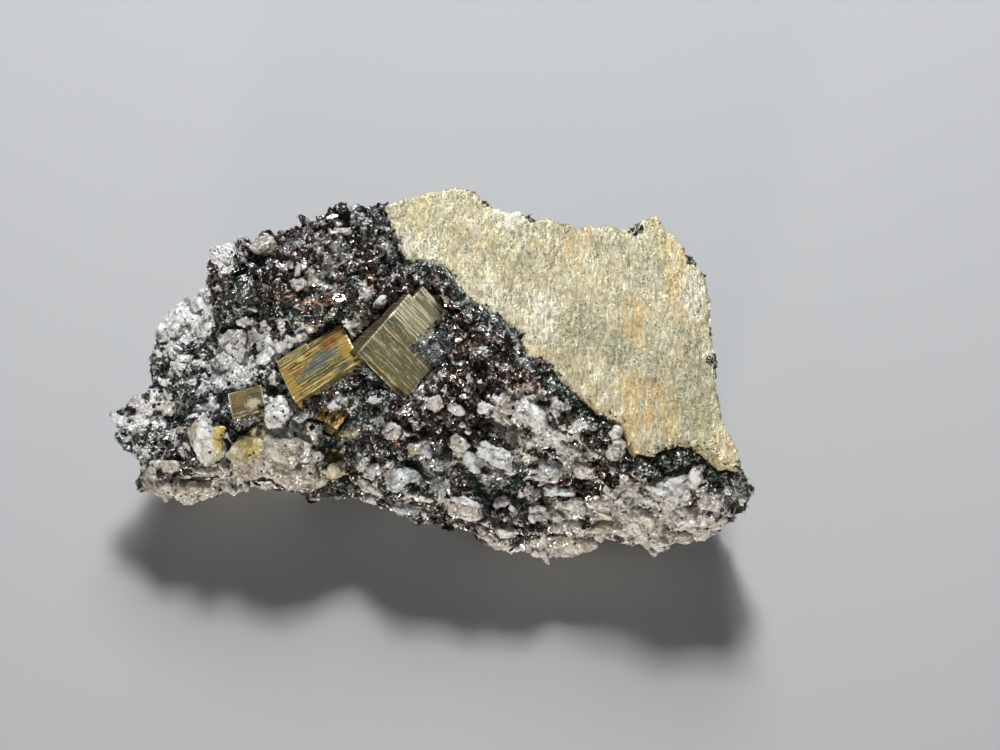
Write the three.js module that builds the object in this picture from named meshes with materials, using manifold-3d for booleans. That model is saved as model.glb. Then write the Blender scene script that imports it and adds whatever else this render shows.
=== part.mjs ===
// A hand specimen of mica schist and quartz that holds five pyrite crystals.
// Millimetres, +Z up. The rock lies on its flat broken back, with the crystals on top.
// The largest crystal is a broad striated plate, and the other four are cubes or bricks set in the mica.
import * as THREE from "three";
import { ConvexGeometry } from "three/addons/geometries/ConvexGeometry.js";
import { mergeVertices } from "three/addons/utils/BufferGeometryUtils.js";
import Module from "manifold-3d";

const wasm = await Module();
wasm.setup();

// Driving dimensions
const SEAT_GAP = 0.3; // between a crystal and the rock or crystal beside it
const TOP_LEVEL = 40; // above everything
const WALL_LEVELS = [0, 3.5, 7, 10.5, 14.4, 15.4, 19, 22.5, 26, 30, TOP_LEVEL];
const OUTLINE_STEP = 5; // between two points of a wall ring
const TOP_CELL = 3.2; // of the top surface's grid
const FOOT = { inset: 7.5, curve: 1.6 }; // how far in the resting face stays, and how the wall bends to it
const LEAN_ABOVE = 0.12; // the walls' lean above their widest level, per mm
const SPINE = { halfLength: 27, y: 2 }; // the walls lean towards this line inside the rock
const BEDS = { pitch: 7.2, depth: 1.3 }; // thickness and overhang of the schist's beds
const LOWER_BED = { top: 15, depth: 1.2, until: -23 }; // the quartz bed under the left end
const WALL_ROUGH = { depth: 0.9, size: 6 };
const TOP_ROUGH = { depth: 1.5, size: 4.6 };

// The rock's widest outline, anticlockwise from the left tip: x, y and the level where it is widest
const OUTLINE = [
  [-48.0, -7.2, 17], [-46.9, -8.4, 15], [-45.6, -9.6, 10], [-43.2, -12.5, 8], [-39.8, -13.6, 7],
  [-37.0, -13.0, 8], [-33.1, -13.7, 8], [-28.6, -12.9, 10], [-25.5, -13.9, 13], [-21.3, -14.3, 13],
  [-16.4, -14.2, 13], [-12.3, -14.4, 12], [-6.9, -16.0, 12], [-4.3, -17.6, 11], [1.4, -18.4, 11],
  [6.0, -19.8, 10], [9.3, -21.3, 9], [12.0, -21.9, 8], [17.3, -22.9, 8], [20.8, -23.1, 8],
  [24.0, -21.8, 8], [25.7, -20.2, 9], [28.0, -19.5, 9], [32.2, -21.0, 9], [34.2, -22.2, 8],
  [36.3, -21.3, 9], [40.8, -20.7, 9], [44.1, -19.6, 11], [46.0, -17.5, 12], [48.3, -17.3, 16],
  [47.7, -15.6, 19], [46.4, -15.0, 24], [45.0, -13.7, 27], [43.1, -9.6, 28], [42.1, -4.7, 29],
  [42.1, 0.4, 29], [41.7, 4.5, 30], [41.6, 9.9, 30], [40.7, 13.9, 30], [39.4, 15.7, 30],
  [36.6, 19.6, 31], [34.0, 22.6, 31], [30.4, 21.2, 31], [26.4, 21.5, 31], [21.8, 21.3, 31],
  [17.6, 22.7, 31], [13.5, 24.1, 31], [8.7, 25.3, 30], [7.2, 26.7, 31], [3.8, 27.7, 31],
  [-0.1, 26.9, 31], [-4.4, 25.8, 31], [-9.8, 24.4, 31], [-14.4, 24, 31], [-17.6, 22.4, 31],
  [-22.0, 22.0, 31], [-27.7, 20.5, 29], [-29.0, 18.9, 27], [-32.4, 19.6, 27], [-33.2, 17.4, 25],
  [-35.6, 15, 24], [-38.2, 13.4, 23], [-40.3, 11.5, 22], [-42.4, 8.6, 21], [-41.8, 6.5, 21],
  [-43.2, 4.8, 20], [-42.3, 2.0, 20], [-43.5, -0.6, 20], [-46.4, -1.9, 19], [-47.6, -4.3, 18],
];

// Heights of the top surface: x, y, z. Between them it runs smoothly.
const TOP_REACH = 3.6; // how far one height is felt
const TOP_HEIGHTS = [
  // the raised mica at the back left, and the loose-looking knob at its corner
  [-19.4, 14.7, 33], [-13.5, 19.8, 33.5], [-26.0, 11.5, 30.5], [-27, 17.8, 30], [-31, 19.4, 26.5],
  [-9, 19.8, 33], [-9, 12.4, 31.5], [-20, 9.4, 30.5], [-14, 9, 30.5],
  // the pale feldspar and quartz of the left end
  [-37.6, 10.8, 21.5], [-28.8, 4.7, 23.5], [-35, 2, 20.5], [-42.6, -1.3, 18.5], [-45.5, -6.7, 17],
  [-40, -8, 18], [-22.7, 5, 25], [-33.6, -9.3, 20.5], [-23.9, -10.6, 20], [-17.9, -10.5, 20],
  [-14.9, -6.2, 22.5], [-24.6, -5.3, 22.5], [-19.8, -13.2, 15], [-42.7, -11, 15.5], [-31, -12.8, 16],
  // the mica band between the cubes and the plate
  [-3, 13.6, 31.5], [0.5, 12.5, 32.4], [4.8, 8.5, 32.2], [9, 3.8, 31.6], [13.5, -1, 31], [19.3, -6, 30],
  [25.2, -11.2, 28.8], [30.2, -15, 27.6], [4.6, -1.6, 28.6], [5.6, 3.6, 30.6], [36, -14.6, 27.6],
  [43, -15.6, 26.6],
  // round the cubes
  [-15.5, -4.3, 26.4], [-11.2, -3, 28.2], [-17.8, -6.2, 25.4], [-8.8, -2.2, 28.4], [-20, 5.4, 27.4],
  [-24.4, 0.4, 25.2], [-9.6, 4.6, 29], [-7, 8.6, 31], [-2.4, 10.4, 32.2], [1.6, 2.6, 28.6],
  [-0.6, -3, 26.8], [-3.6, -6.8, 26], [-8.6, -4, 26],
  // the slope of quartz and mica in front
  [3.1, -11.4, 22], [10.5, -11.7, 22.5], [17.9, -9.6, 25], [-7.4, -9.8, 22],
  [-4.4, -15.4, 18], [3, -15.7, 17.5], [10.5, -16.9, 16.5], [18, -17.5, 16], [25.5, -16.9, 17],
  [32.8, -18.2, 19], [40.2, -18, 20], [47, -16, 20], [-12.2, -12.8, 15], [19.6, -22.5, 11], [28.7, -20.5, 11],
  // under the plate, which is cut out of this afterwards
  [10, 18, 31], [25, 14, 31], [36, 12, 30.5], [22, 2, 30], [35, -4, 29.5], [12, 10, 31], [0, 24, 31],
];

// The plate's outline, anticlockwise from its left corner. Its last stretch borders the mica.
const PLATE_OUTLINE = [
  [-6.4, 21.7], [-4.9, 19.2], [-3.9, 15.5], [-0.8, 15.5], [2.1, 14.4], [4.2, 11.1], [7.2, 8.3], [10.5, 6.3],
  [13.5, 3.7], [14.5, -0.1], [17.6, -1.2], [19.6, -3.8], [22.7, -6.2], [25.2, -8.5], [28.4, -10.4],
  [30.1, -14.2], [33.2, -14.5], [36.6, -12.7], [39.8, -13.5], [42.9, -16.0], [45.9, -16.3], [44.9, -13.6],
  [43.4, -9.9], [42.4, -4.9], [42.4, 0.1], [42, 4.5], [41.9, 9.6], [40.9, 13.6], [39.5, 15.8],
  [36.8, 19.8], [35.2, 21.5], [34, 23.3], [30.4, 21.1], [26.4, 21.6], [21.8, 21.2], [17.6, 22.6],
  [15, 22.2], [13.5, 23.8], [11.3, 23.7], [8.7, 24.9], [7.2, 26.8], [3.8, 27.8], [-0.1, 26.9],
  [-4.4, 25.8], [-7, 24.5],
];

// Rise is the plate's tilt, per mm of y. Its underside's edge stays in by the lean, and its edge is broken.
const PLATE = {
  level: 29.4, rise: 0.1, thick: 8.5, cell: 4.4, middle: [22, 8], lean: 2.4, shoulder: 1.5, broken: 0.4,
};

// The cubes: side lengths, the middle of the showing face, the way it faces and the way its striations run.
// Ledges are added beside the face and notches cut into it: the middle and the sides of each as
// shares of the face, and its level above the face. No rock stands over the open parts.
const LEDGE_DEPTH = 0.6; // of the crystal's depth
const OPEN_SPACE = [-1, 6]; // its levels above the face
const CUBES = {
  pyrite_large_cube: {
    size: [10.3, 12, 10], at: [-3.3, 1.8, 29.8], facing: [0.42, -0.42, 0.8], along: [0.66, -0.47, -0.59],
    ledges: [[-0.12, 0.58, 0.56, 0.26, -0.7]], notches: [[0.1, -0.48, 0.8, 0.08, -0.5]],
    open: [[-0.2, 0, 0.6, 1], [-0.11, 0.58, 0.62, 0.36], [0.15, -0.22, 0.7, 0.56]],
  },
  pyrite_brick: {
    size: [11.5, 8.5, 8], at: [-16.7, 0.5, 27.6], facing: [-0.4, 0.19, 0.9], along: [0.85, 0.46, 0.28],
    ledges: [[-0.25, 0.44, 0.46, 0.18, 0.3]], notches: [[0, -0.47, 1.1, 0.12, -0.4]],
    open: [[0, 0.02, 1, 1.04]],
  },
  pyrite_small_cube: {
    size: [5.2, 4.4, 5], at: [-27.3, -4.4, 24], facing: [-0.15, 0.05, 1], along: [0.95, 0.23, 0.15],
    ledges: [], notches: [[0.42, -0.42, 0.3, 0.3, -0.8]], open: [],
  },
  pyrite_weathered_cube: {
    size: [4.2, 3.8, 4.5], at: [-14.2, -6.2, 24.4], facing: [0.3, -0.1, 0.9], along: [0.5, 0.85, 0],
    ledges: [], notches: [[-0.4, 0.4, 0.5, 0.5, -0.8], [0.45, -0.4, 0.25, 0.3, -0.5]], open: [],
  },
};

// Quartz grains that stand out: x, y, z, length, width and the turn of the length in degrees
const GRAINS = [
  [-23.4, -8.6, 19.6, 11, 8, 10], [-17.6, -10.6, 18.4, 8.5, 6.5, -25], [-25.8, -11.6, 17, 7, 5, -15],
  [-33.6, -8.6, 20.2, 5.6, 6.4, 60], [-35.9, -6.6, 19.6, 5, 4, 80], [-23.2, -4.6, 22.3, 5.4, 6, 70],
  [-41.6, -11.4, 10.8, 9, 6, -10], [-35.6, -11.9, 9.6, 8, 5, -5], [-29.8, -11.2, 10, 6, 4.4, 10],
  [-28.6, 4.4, 22.8, 8, 6, 20], [-24.4, 7.4, 24.6, 6, 5, -30], [-22, 2.4, 24.4, 5.5, 5, 40],
  [-37.6, 11, 20.8, 9, 7, 50], [-39.6, 5.6, 19.8, 6, 5, 20], [-19.4, 6.6, 26.6, 5, 3.4, 30],
  [-9.6, 9.4, 30.8, 5.4, 4.6, 45], [1.8, -5.8, 25, 5.2, 3.6, -50], [10.1, -12.2, 22.2, 7.6, 4.8, -38],
  [-3.6, -15, 18, 7.2, 6.2, 10], [-1.9, -10.8, 22, 4.6, 4, 15], [18.2, -12.8, 19.8, 5.4, 4.2, -25],
  [22.8, -13.4, 19.2, 4.4, 3.6, 10], [19, -9.8, 23.8, 9.5, 5.5, -14], [13.6, -6.4, 26.4, 7, 5, -20],
  [24, -10.4, 25, 5, 4, 20], [-2.6, -17.2, 13.4, 7.5, 5, -30], [5.2, -17.6, 13.8, 8.5, 5, -12],
  [16.4, -15.2, 16.8, 5, 4, 30], [28.4, -17, 18, 5, 4.4, 0], [36, -17.2, 20.6, 12, 6, 12],
  [30.8, -16.4, 20.6, 5, 4, 20], [20, -20.8, 9.6, 11, 6, -5], [13, -20.4, 10.5, 6.5, 5, 10],
  [27, -18.8, 11.4, 7, 5, -10], [34.6, -20.4, 9, 4.6, 4, 10], [39.4, -18.4, 13, 9, 6, 10],
  [45, -16.6, 14.4, 6, 5, 40], [8.6, -5.8, 27, 6, 4, -50], [-31.6, 18.6, 26.4, 5.6, 5.2, 30],
  [-47.6, -3.4, 17.4, 3.4, 2.2, 10],
];

// Patches of mica books: x, y, radii, turn in degrees, and how many stand in each
const MICA_PATCHES = [
  [-17, 15.5, 11, 7, 12, 11], [-28.5, 14.5, 4.5, 5.5, 60, 4], [4, 11, 4, 2, -45, 3],
  [6.5, 2.5, 8, 3.4, -48, 6], [18, -5.4, 7, 2.2, -38, 4], [34, -15.2, 8, 1.6, 0, 4],
  [-8, -7, 7, 4, 0, 3], [-39, -3, 6, 5, 0, 3], [4, -13, 9, 3, 0, 2],
];
const MICA_BOOK = { radius: [1.1, 2.3], thick: [0.5, 1.1] };
const TOP_GRAINS = { count: 40, size: [1.6, 3.4], sunk: 0.2 };
const FRAGMENT = { corners: 11, spiral: 2.4, radius: [0.42, 0.56] }; // corners on a spiral, radius per length

// Lumps and pits of the walls and the back. Sunk is how deep their middles lie, as a share of the radius.
const KNOBS = { count: 32, radius: [2.4, 5], sunk: 0.5, seed: 5 };
const PITS = { count: 8, radius: [2.4, 4.4], sunk: -0.35, seed: 91 };
const FRONT_SUNK = 0.85; // the front wall's lumps hardly stand out

// Numbers that look random and are the same on every run
function randomFrom(seed) {
  let state = seed;
  return (low = 0, high = 1) => {
    state = (state * 1664525 + 1013904223) % 4294967296;
    return low + ((high - low) * state) / 4294967296;
  };
}

function hash(x, y, z) {
  const value = Math.sin(x * 127.1 + y * 311.7 + z * 74.7) * 43758.5453;
  return 2 * (value - Math.floor(value)) - 1;
}

// Smooth noise from -1 to 1, with one bump per unit
function noise(x, y, z) {
  const [i, j, k] = [x, y, z].map(Math.floor);
  const [u, v, w] = [x - i, y - j, z - k].map((t) => t * t * (3 - 2 * t));
  const { lerp } = THREE.MathUtils;
  const row = (b, c) => lerp(hash(i, b, c), hash(i + 1, b, c), u);
  return lerp(lerp(row(j, k), row(j + 1, k), v), lerp(row(j, k + 1), row(j + 1, k + 1), v), w);
}

// Rough broken rock: a broad noise with a finer one on it
function roughness(place, { depth, size }) {
  const [broad, fine] = [1, 2.3].map((times) => noise(...place.map((value) => (times * value) / size)));
  return depth * (0.6 * broad + 0.4 * fine);
}

function solidOf(geometry) {
  const bare = new THREE.BufferGeometry();
  bare.setAttribute("position", geometry.getAttribute("position"));
  bare.setIndex(geometry.index);
  const merged = mergeVertices(bare, 1e-4);
  const vertProperties = merged.attributes.position.array;
  const triVerts = new Uint32Array(merged.index.array);
  return new wasm.Manifold(new wasm.Mesh({ numProp: 3, vertProperties, triVerts }));
}

function geometryOf(solid) {
  const { vertProperties, triVerts } = solid.getMesh();
  const geometry = new THREE.BufferGeometry();
  geometry.setAttribute("position", new THREE.BufferAttribute(vertProperties, 3));
  geometry.setIndex(new THREE.BufferAttribute(triVerts, 1));
  geometry.computeVertexNormals();
  return geometry;
}

function joined(solids) {
  return solids.reduce((all, one) => all.add(one));
}

function largestPiece(solid) {
  return solid.decompose().reduce((best, one) => (one.volume() > best.volume() ? one : best));
}

// The same outline with points at an even distance, each with its interpolated values
function resampled(outline, step) {
  const points = [];
  outline.forEach((from, i) => {
    const to = outline[(i + 1) % outline.length];
    const count = Math.max(1, Math.round(Math.hypot(to[0] - from[0], to[1] - from[1]) / step));
    const between = (share) => from.map((value, n) => THREE.MathUtils.lerp(value, to[n], share));
    for (let k = 0; k < count; k++) points.push(between(k / count));
  });
  return points;
}

// A closed solid through rings of the same number of points, lowest ring first, anticlockwise from above
function loft(rings) {
  const count = rings[0].length;
  const index = [];
  for (let r = 0; r + 1 < rings.length; r++)
    for (let i = 0; i < count; i++) {
      const [a, b] = [r * count + i, r * count + ((i + 1) % count)];
      index.push(a, b, b + count, a, b + count, a + count);
    }
  const cap = (ring) => THREE.ShapeUtils.triangulateShape(ring.map(([x, y]) => new THREE.Vector2(x, y)), []);
  const last = (rings.length - 1) * count;
  for (const [a, b, c] of cap(rings[0])) index.push(c, b, a);
  for (const [a, b, c] of cap(rings.at(-1))) index.push(last + a, last + b, last + c);
  const geometry = new THREE.BufferGeometry();
  geometry.setAttribute("position", new THREE.Float32BufferAttribute(rings.flat(2), 3));
  geometry.setIndex(index);
  return solidOf(geometry);
}

// A block whose top is the surface z = heightAt(x, y)
function terrain([left, front], [right, back], cell, floor, heightAt) {
  const [columns, rows] = [Math.ceil((right - left) / cell), Math.ceil((back - front) / cell)];
  const block = new THREE.BoxGeometry(right - left, back - front, 1, columns, rows, 1);
  block.translate((left + right) / 2, (front + back) / 2, 0);
  const place = block.getAttribute("position");
  for (let i = 0; i < place.count; i++) {
    const [x, y] = [place.getX(i), place.getY(i)];
    place.setZ(i, place.getZ(i) > 0 ? heightAt(x, y) : floor);
  }
  return solidOf(block);
}

function topHeight(x, y) {
  let [sum, weights] = [0, 0];
  for (const [hx, hy, z] of TOP_HEIGHTS) {
    const away = Math.hypot(x - hx, y - hy) / TOP_REACH;
    const weight = 1 / (0.2 + away ** 4);
    sum += weight * z;
    weights += weight;
  }
  return sum / weights + roughness([x, y, 0], TOP_ROUGH);
}

function plateHeight(x, y) {
  const striation = 0.22 * noise(x / 1.9, y / 26, 5) + 0.2 * noise(x / 7, y / 9, 8);
  return PLATE.level + PLATE.rise * y + striation;
}

// How far a wall at this level stands in from the widest outline
function wallInset(x, y, reach, level) {
  const below = Math.max(0, reach - level) / reach;
  const above = Math.max(0, level - reach);
  const bed = level / BEDS.pitch + 0.35 * noise(x / 14, y / 14, 3);
  const undercut = level > 0 ? BEDS.depth * (Math.ceil(bed) - bed) * Math.min(1, 4 * below) : 0;
  const lower = y < 0 && x < LOWER_BED.until && level < LOWER_BED.top ? LOWER_BED.depth : 0;
  return FOOT.inset * below ** FOOT.curve + LEAN_ABOVE * above + undercut + lower;
}

function wallRing(outline, level) {
  return outline.map(([x, y, reach]) => {
    const inner = [THREE.MathUtils.clamp(x, -SPINE.halfLength, SPINE.halfLength), SPINE.y];
    const away = Math.hypot(x - inner[0], y - inner[1]);
    const calm = level > 0 ? Math.min(1, Math.abs(level - reach) / 5) : 0;
    const share = (wallInset(x, y, reach, level) + calm * roughness([x, y, level], WALL_ROUGH)) / away;
    return [x + (inner[0] - x) * share, y + (inner[1] - y) * share, level];
  });
}

// An angular fragment: the hull of jittered points on an ellipsoid, turned and set in place
function fragment([x, y, z], [long, wide, tall], turn, seed) {
  const random = randomFrom(seed);
  const corners = Array.from({ length: FRAGMENT.corners }, (_, i) => {
    const height = 1 - (2 * (i + 0.5)) / FRAGMENT.corners;
    const angle = FRAGMENT.spiral * i + random(-0.3, 0.3);
    const corner = new THREE.Vector3(Math.cos(angle), Math.sin(angle), 0);
    corner.multiplyScalar(Math.sqrt(1 - height * height)).setZ(height);
    return corner.multiplyScalar(random(...FRAGMENT.radius));
  });
  const geometry = new ConvexGeometry(corners);
  geometry.rotateX(random(0, Math.PI));
  geometry.scale(long, wide, tall);
  geometry.rotateZ(THREE.MathUtils.degToRad(turn));
  geometry.translate(x, y, z);
  return solidOf(geometry);
}

function quartzGrains() {
  return GRAINS.map(([x, y, z, long, wide, turn], i) => {
    const tall = 0.8 * wide;
    return fragment([x, y, z], [long, wide, tall], turn, 10 * i);
  });
}

// Smaller angular grains strewn from the outline to the middle of the mica
function topGrains() {
  const random = randomFrom(31);
  return Array.from({ length: TOP_GRAINS.count }, (_, i) => {
    const [edgeX, edgeY] = OUTLINE[Math.floor(random(0, OUTLINE.length))];
    const inner = new THREE.Vector2(random(-25, 5), random(-4, 10));
    const spot = new THREE.Vector2(edgeX, edgeY).lerp(inner, random(0.1, 1));
    const width = random(...TOP_GRAINS.size);
    const place = [spot.x, spot.y, topHeight(spot.x, spot.y) - TOP_GRAINS.sunk];
    return fragment(place, [1.4 * width, width, width], random(0, 180), 500 + i);
  });
}

// Thin six-sided mica books, standing at many angles in their patches
function micaBooks() {
  const random = randomFrom(77);
  const book = ([x, y, long, wide, turn]) => {
    const spot = new THREE.Vector2(random(-1, 1) * long, random(-1, 1) * wide);
    spot.rotateAround(new THREE.Vector2(), THREE.MathUtils.degToRad(turn)).add(new THREE.Vector2(x, y));
    const [top, bottom] = [random(...MICA_BOOK.radius), random(...MICA_BOOK.radius)];
    const prism = new THREE.CylinderGeometry(top, bottom, random(...MICA_BOOK.thick), 6);
    prism.rotateX(random(0.6, 2.5));
    prism.rotateZ(random(0, Math.PI));
    prism.translate(spot.x, spot.y, topHeight(spot.x, spot.y) + random(-0.2, 0.8));
    return solidOf(prism);
  };
  return MICA_PATCHES.flatMap((patch) => Array.from({ length: patch.at(-1) }, () => book(patch)));
}

// Lumps or pits spread evenly round the walls
function wallLumps({ count, radius, sunk, seed }) {
  const random = randomFrom(seed);
  const ring = resampled(OUTLINE, OUTLINE_STEP);
  return Array.from({ length: count }, (_, i) => {
    const [x, y, reach] = ring[Math.floor(((i + random(0, 0.8)) * ring.length) / count)];
    const level = random(3, Math.max(6, reach - 3));
    const [[wallX, wallY]] = wallRing([[x, y, reach]], level);
    const size = random(...radius);
    const inward = new THREE.Vector2(-wallX, SPINE.y - wallY).setLength(size * (y < 0 ? FRONT_SUNK : sunk));
    const place = [wallX + inward.x, wallY + inward.y, level];
    return fragment(place, [2 * size, 1.6 * size, 1.4 * size], random(0, 180), 40 + i);
  });
}

// A block square to a crystal's face, between two levels and grown by a margin all round
function faceBlock({ size, at, facing, along }, [u, v, lengthShare, widthShare], [low, high], margin) {
  const z = new THREE.Vector3(...facing).normalize();
  const x = new THREE.Vector3(...along).projectOnPlane(z).normalize();
  const [long, wide] = size;
  const place = new THREE.Matrix4().makeBasis(x, z.clone().cross(x), z).setPosition(...at);
  const sides = [lengthShare * long, widthShare * wide, high - low].map((side) => side + 2 * margin);
  const box = new THREE.BoxGeometry(...sides).translate(u * long, v * wide, (low + high) / 2);
  return solidOf(box.applyMatrix4(place));
}

// A cube or brick with ledges and notches on the face that shows, or without notches and grown by a margin
function cube(shape, margin) {
  const deep = shape.size[2];
  const body = faceBlock(shape, [0, 0, 1, 1], [-deep, 0], margin);
  const ledges = shape.ledges.map((one) => faceBlock(shape, one, [-LEDGE_DEPTH * deep, one[4]], margin));
  const grown = joined([body, ...ledges]);
  if (margin > 0) return grown;
  return shape.notches.reduce((left, one) => left.subtract(faceBlock(shape, one, [one[4], 1], 0)), grown);
}

// The spaces over a crystal that are clear of rock
function openSpaces(shape) {
  return shape.open.map((part) => faceBlock(shape, part, OPEN_SPACE, SEAT_GAP));
}

// The plate's walls, from its underside up to the top level: broken, or plain and grown by a margin
function plateBlock(margin) {
  const outline = resampled(PLATE_OUTLINE, OUTLINE_STEP);
  const ring = (level, lean) =>
    outline.map(([x, y], i) => {
      const [before, after] = [outline.at(i - 1), outline[(i + 1) % outline.length]];
      const out = new THREE.Vector2(after[1] - before[1], before[0] - after[0]).setLength(margin);
      const broken = margin > 0 ? 0 : PLATE.broken * Math.max(0, noise(x, y, level));
      const inward = new THREE.Vector2(PLATE.middle[0] - x, PLATE.middle[1] - y).setLength(lean + broken);
      return [x + out.x + inward.x, y + out.y + inward.y, level + PLATE.rise * y];
    });
  const under = PLATE.level - PLATE.thick - margin;
  const halfway = ring(under + PLATE.thick / 3, PLATE.lean / 2);
  return loft([ring(under, PLATE.lean), halfway, ring(PLATE.level - PLATE.shoulder, 0), ring(TOP_LEVEL, 0)]);
}

function broadPlate() {
  const surface = terrain([-12, -22], [50, 32], PLATE.cell, 0, plateHeight);
  return plateBlock(0).intersect(surface);
}

// The rock with a seat for each crystal and none of it over their faces, cut off flat underneath
function rock() {
  const walls = resampled(OUTLINE, OUTLINE_STEP);
  const body = loft(WALL_LEVELS.map((level) => wallRing(walls, level)));
  const shaped = body.intersect(terrain([-54, -29], [54, 33], TOP_CELL, -1, topHeight));
  const bulky = joined([shaped, ...quartzGrains(), ...topGrains(), ...micaBooks(), ...wallLumps(KNOBS)]);
  const under = solidOf(new THREE.BoxGeometry(200, 200, 20).translate(0, 0, -10));
  const seats = [plateBlock(SEAT_GAP), ...Object.values(CUBES).map((one) => cube(one, SEAT_GAP))];
  const cuts = [under, ...wallLumps(PITS), ...seats, ...Object.values(CUBES).flatMap(openSpaces)];
  return cuts.reduce((left, cut) => left.subtract(cut), bulky);
}

const MATERIALS = {
  rock: new THREE.MeshStandardMaterial({ color: 0x77756c, roughness: 0.7, metalness: 0 }),
  plate: new THREE.MeshStandardMaterial({ color: 0xcdbf92, roughness: 0.45, metalness: 0.5 }),
  brass: new THREE.MeshStandardMaterial({ color: 0x9c8634, roughness: 0.3, metalness: 0.9 }),
};

function piece(name, solid, material) {
  const mesh = new THREE.Mesh(geometryOf(largestPiece(solid)), material);
  mesh.name = name;
  return mesh;
}

const specimen = new THREE.Group();
specimen.add(piece("schist_matrix", rock(), MATERIALS.rock));
specimen.add(piece("pyrite_broad_plate", broadPlate(), MATERIALS.plate));

// Each crystal gives way to those that stand before it here
const grownFirst = [plateBlock(SEAT_GAP)];
for (const [name, shape] of Object.entries(CUBES)) {
  const crystal = grownFirst.reduce((left, other) => left.subtract(other), cube(shape, 0));
  specimen.add(piece(name, crystal, MATERIALS.brass));
  grownFirst.push(cube(shape, SEAT_GAP));
}

// The origin is under the middle of the specimen, on the surface that it rests on
const bounds = new THREE.Box3().setFromObject(specimen);
const middle = bounds.getCenter(new THREE.Vector3());
specimen.position.set(-middle.x, -middle.y, -bounds.min.z);

export default specimen;
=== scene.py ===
"""The looks of a cubic pyrite specimen: schist, quartz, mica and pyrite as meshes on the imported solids.

Places and sizes are in plan millimetres, the frame in which the specimen was measured. A Plan turns them into
the row frame's metres.
"""

import logging
import math
from collections.abc import Iterable
from dataclasses import dataclass, field
from enum import Enum

import bmesh
import bpy
import numpy as np
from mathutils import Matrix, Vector


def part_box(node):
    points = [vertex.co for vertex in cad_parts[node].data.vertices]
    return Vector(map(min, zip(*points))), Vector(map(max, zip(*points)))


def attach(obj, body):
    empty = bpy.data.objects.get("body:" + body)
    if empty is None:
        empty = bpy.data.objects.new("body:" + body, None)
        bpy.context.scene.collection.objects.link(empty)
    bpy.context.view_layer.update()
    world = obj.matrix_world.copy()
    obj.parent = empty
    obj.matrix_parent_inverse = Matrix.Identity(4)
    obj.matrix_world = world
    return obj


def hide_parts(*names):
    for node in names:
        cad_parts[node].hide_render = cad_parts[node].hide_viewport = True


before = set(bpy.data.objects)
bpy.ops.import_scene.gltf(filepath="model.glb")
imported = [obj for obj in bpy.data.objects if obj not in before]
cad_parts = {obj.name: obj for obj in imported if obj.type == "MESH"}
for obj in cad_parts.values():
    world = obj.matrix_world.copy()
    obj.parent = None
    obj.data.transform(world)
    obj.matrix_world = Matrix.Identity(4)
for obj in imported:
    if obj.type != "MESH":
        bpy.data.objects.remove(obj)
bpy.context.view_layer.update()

MM = 0.001
CUBE_CORNERS = np.stack(np.unravel_index(range(8), (2, 2, 2)), axis=1)
NEIGHBOURS = np.stack(np.unravel_index(range(27), (3, 3, 3)), axis=1) - 1
HASH_STEPS = (73856093, 19349663, 83492791)  # large primes, one for each direction
HASH_BITS = 24

Pair = tuple[float, float]
Triple = tuple[float, float, float]
Colour = tuple[float, float, float, float]
Stops = tuple[tuple[float, Colour], ...]
Socket = bpy.types.NodeSocket

log = logging.getLogger("specimen")


def tint(red: float, green: float, blue: float) -> Colour:
    """A colour as the eye reads it, 0 to 255, in the linear values that shaders use.

    Args:
        red: how red it is.
        green: how green.
        blue: how blue.

    Returns:
        Red, green, blue and 1.
    """
    shares = [value / 255 for value in (red, green, blue)]
    linear = [s / 12.92 if s <= 0.04045 else ((s + 0.055) / 1.055) ** 2.4 for s in shares]
    return (*linear, 1.0)


def stops(*rows: tuple[float, ...]) -> Stops:
    """Colour stops, from rows of a place and the red, green and blue of a tint."""
    return tuple((place, tint(*shade)) for place, *shade in rows)


def unit(vectors: np.ndarray) -> np.ndarray:
    """Vectors at length 1, row by row."""
    return vectors / np.maximum(np.linalg.norm(vectors, axis=-1, keepdims=True), 1e-12)


def rising(values: np.ndarray, low: float, high: float) -> np.ndarray:
    """A smooth step from 0 at low to 1 at high."""
    share = np.clip((values - low) / (high - low), 0, 1)
    return share * share * (3 - 2 * share)


def hashed(lattice: np.ndarray, seed: int) -> np.ndarray:
    """Numbers from 0 to 1 that look random and depend only on the lattice point and the seed.

    Args:
        lattice: whole numbers, three to a row.
        seed: picks one of many sets of numbers.

    Returns:
        One number for each row.
    """
    x, y, z = (lattice.astype(np.int64) * HASH_STEPS).T
    mixed = x ^ y ^ z ^ (seed * 40503 + 977)
    for shift in (13, 16):
        mixed = ((mixed ^ (mixed >> shift)) * 1274126177) & 0xFFFFFFFF
    return ((mixed ^ (mixed >> 15)) % 2**HASH_BITS) / 2**HASH_BITS


@dataclass(frozen=True)
class Noise:
    """Smooth random relief between -1 and 1.

    Its cell is the distance in millimetres over which it changes.
    """

    seed: int
    cell: float

    def at(self, points: np.ndarray) -> np.ndarray:
        """The relief at each point.

        Args:
            points: places in plan millimetres, one to a row.

        Returns:
            Relief from -1 to 1 for each place.
        """
        scaled = points / self.cell
        base = np.floor(scaled)
        part = scaled - base
        part = part * part * (3 - 2 * part)
        total = np.zeros(len(points))
        for corner in CUBE_CORNERS:
            total += np.where(corner, part, 1 - part).prod(axis=1) * hashed(base + corner, self.seed)
        return 2 * total - 1

    def layered(self, points: np.ndarray, octaves: int = 3) -> np.ndarray:
        """The relief with finer and fainter layers of itself on top."""
        return sum(0.5**i * Noise(self.seed + i, self.cell / 2**i).at(points) for i in range(octaves))


RUN = unit(np.array([0.78, -0.55, -0.3]))  # the way that the schist's grains are drawn out


def drawn_in(points: np.ndarray, share: float = 0.5) -> np.ndarray:
    """Places with the run of the schist shortened, so that a pattern on them is drawn out along it."""
    return points - share * (points @ RUN)[:, None] * RUN


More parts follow.
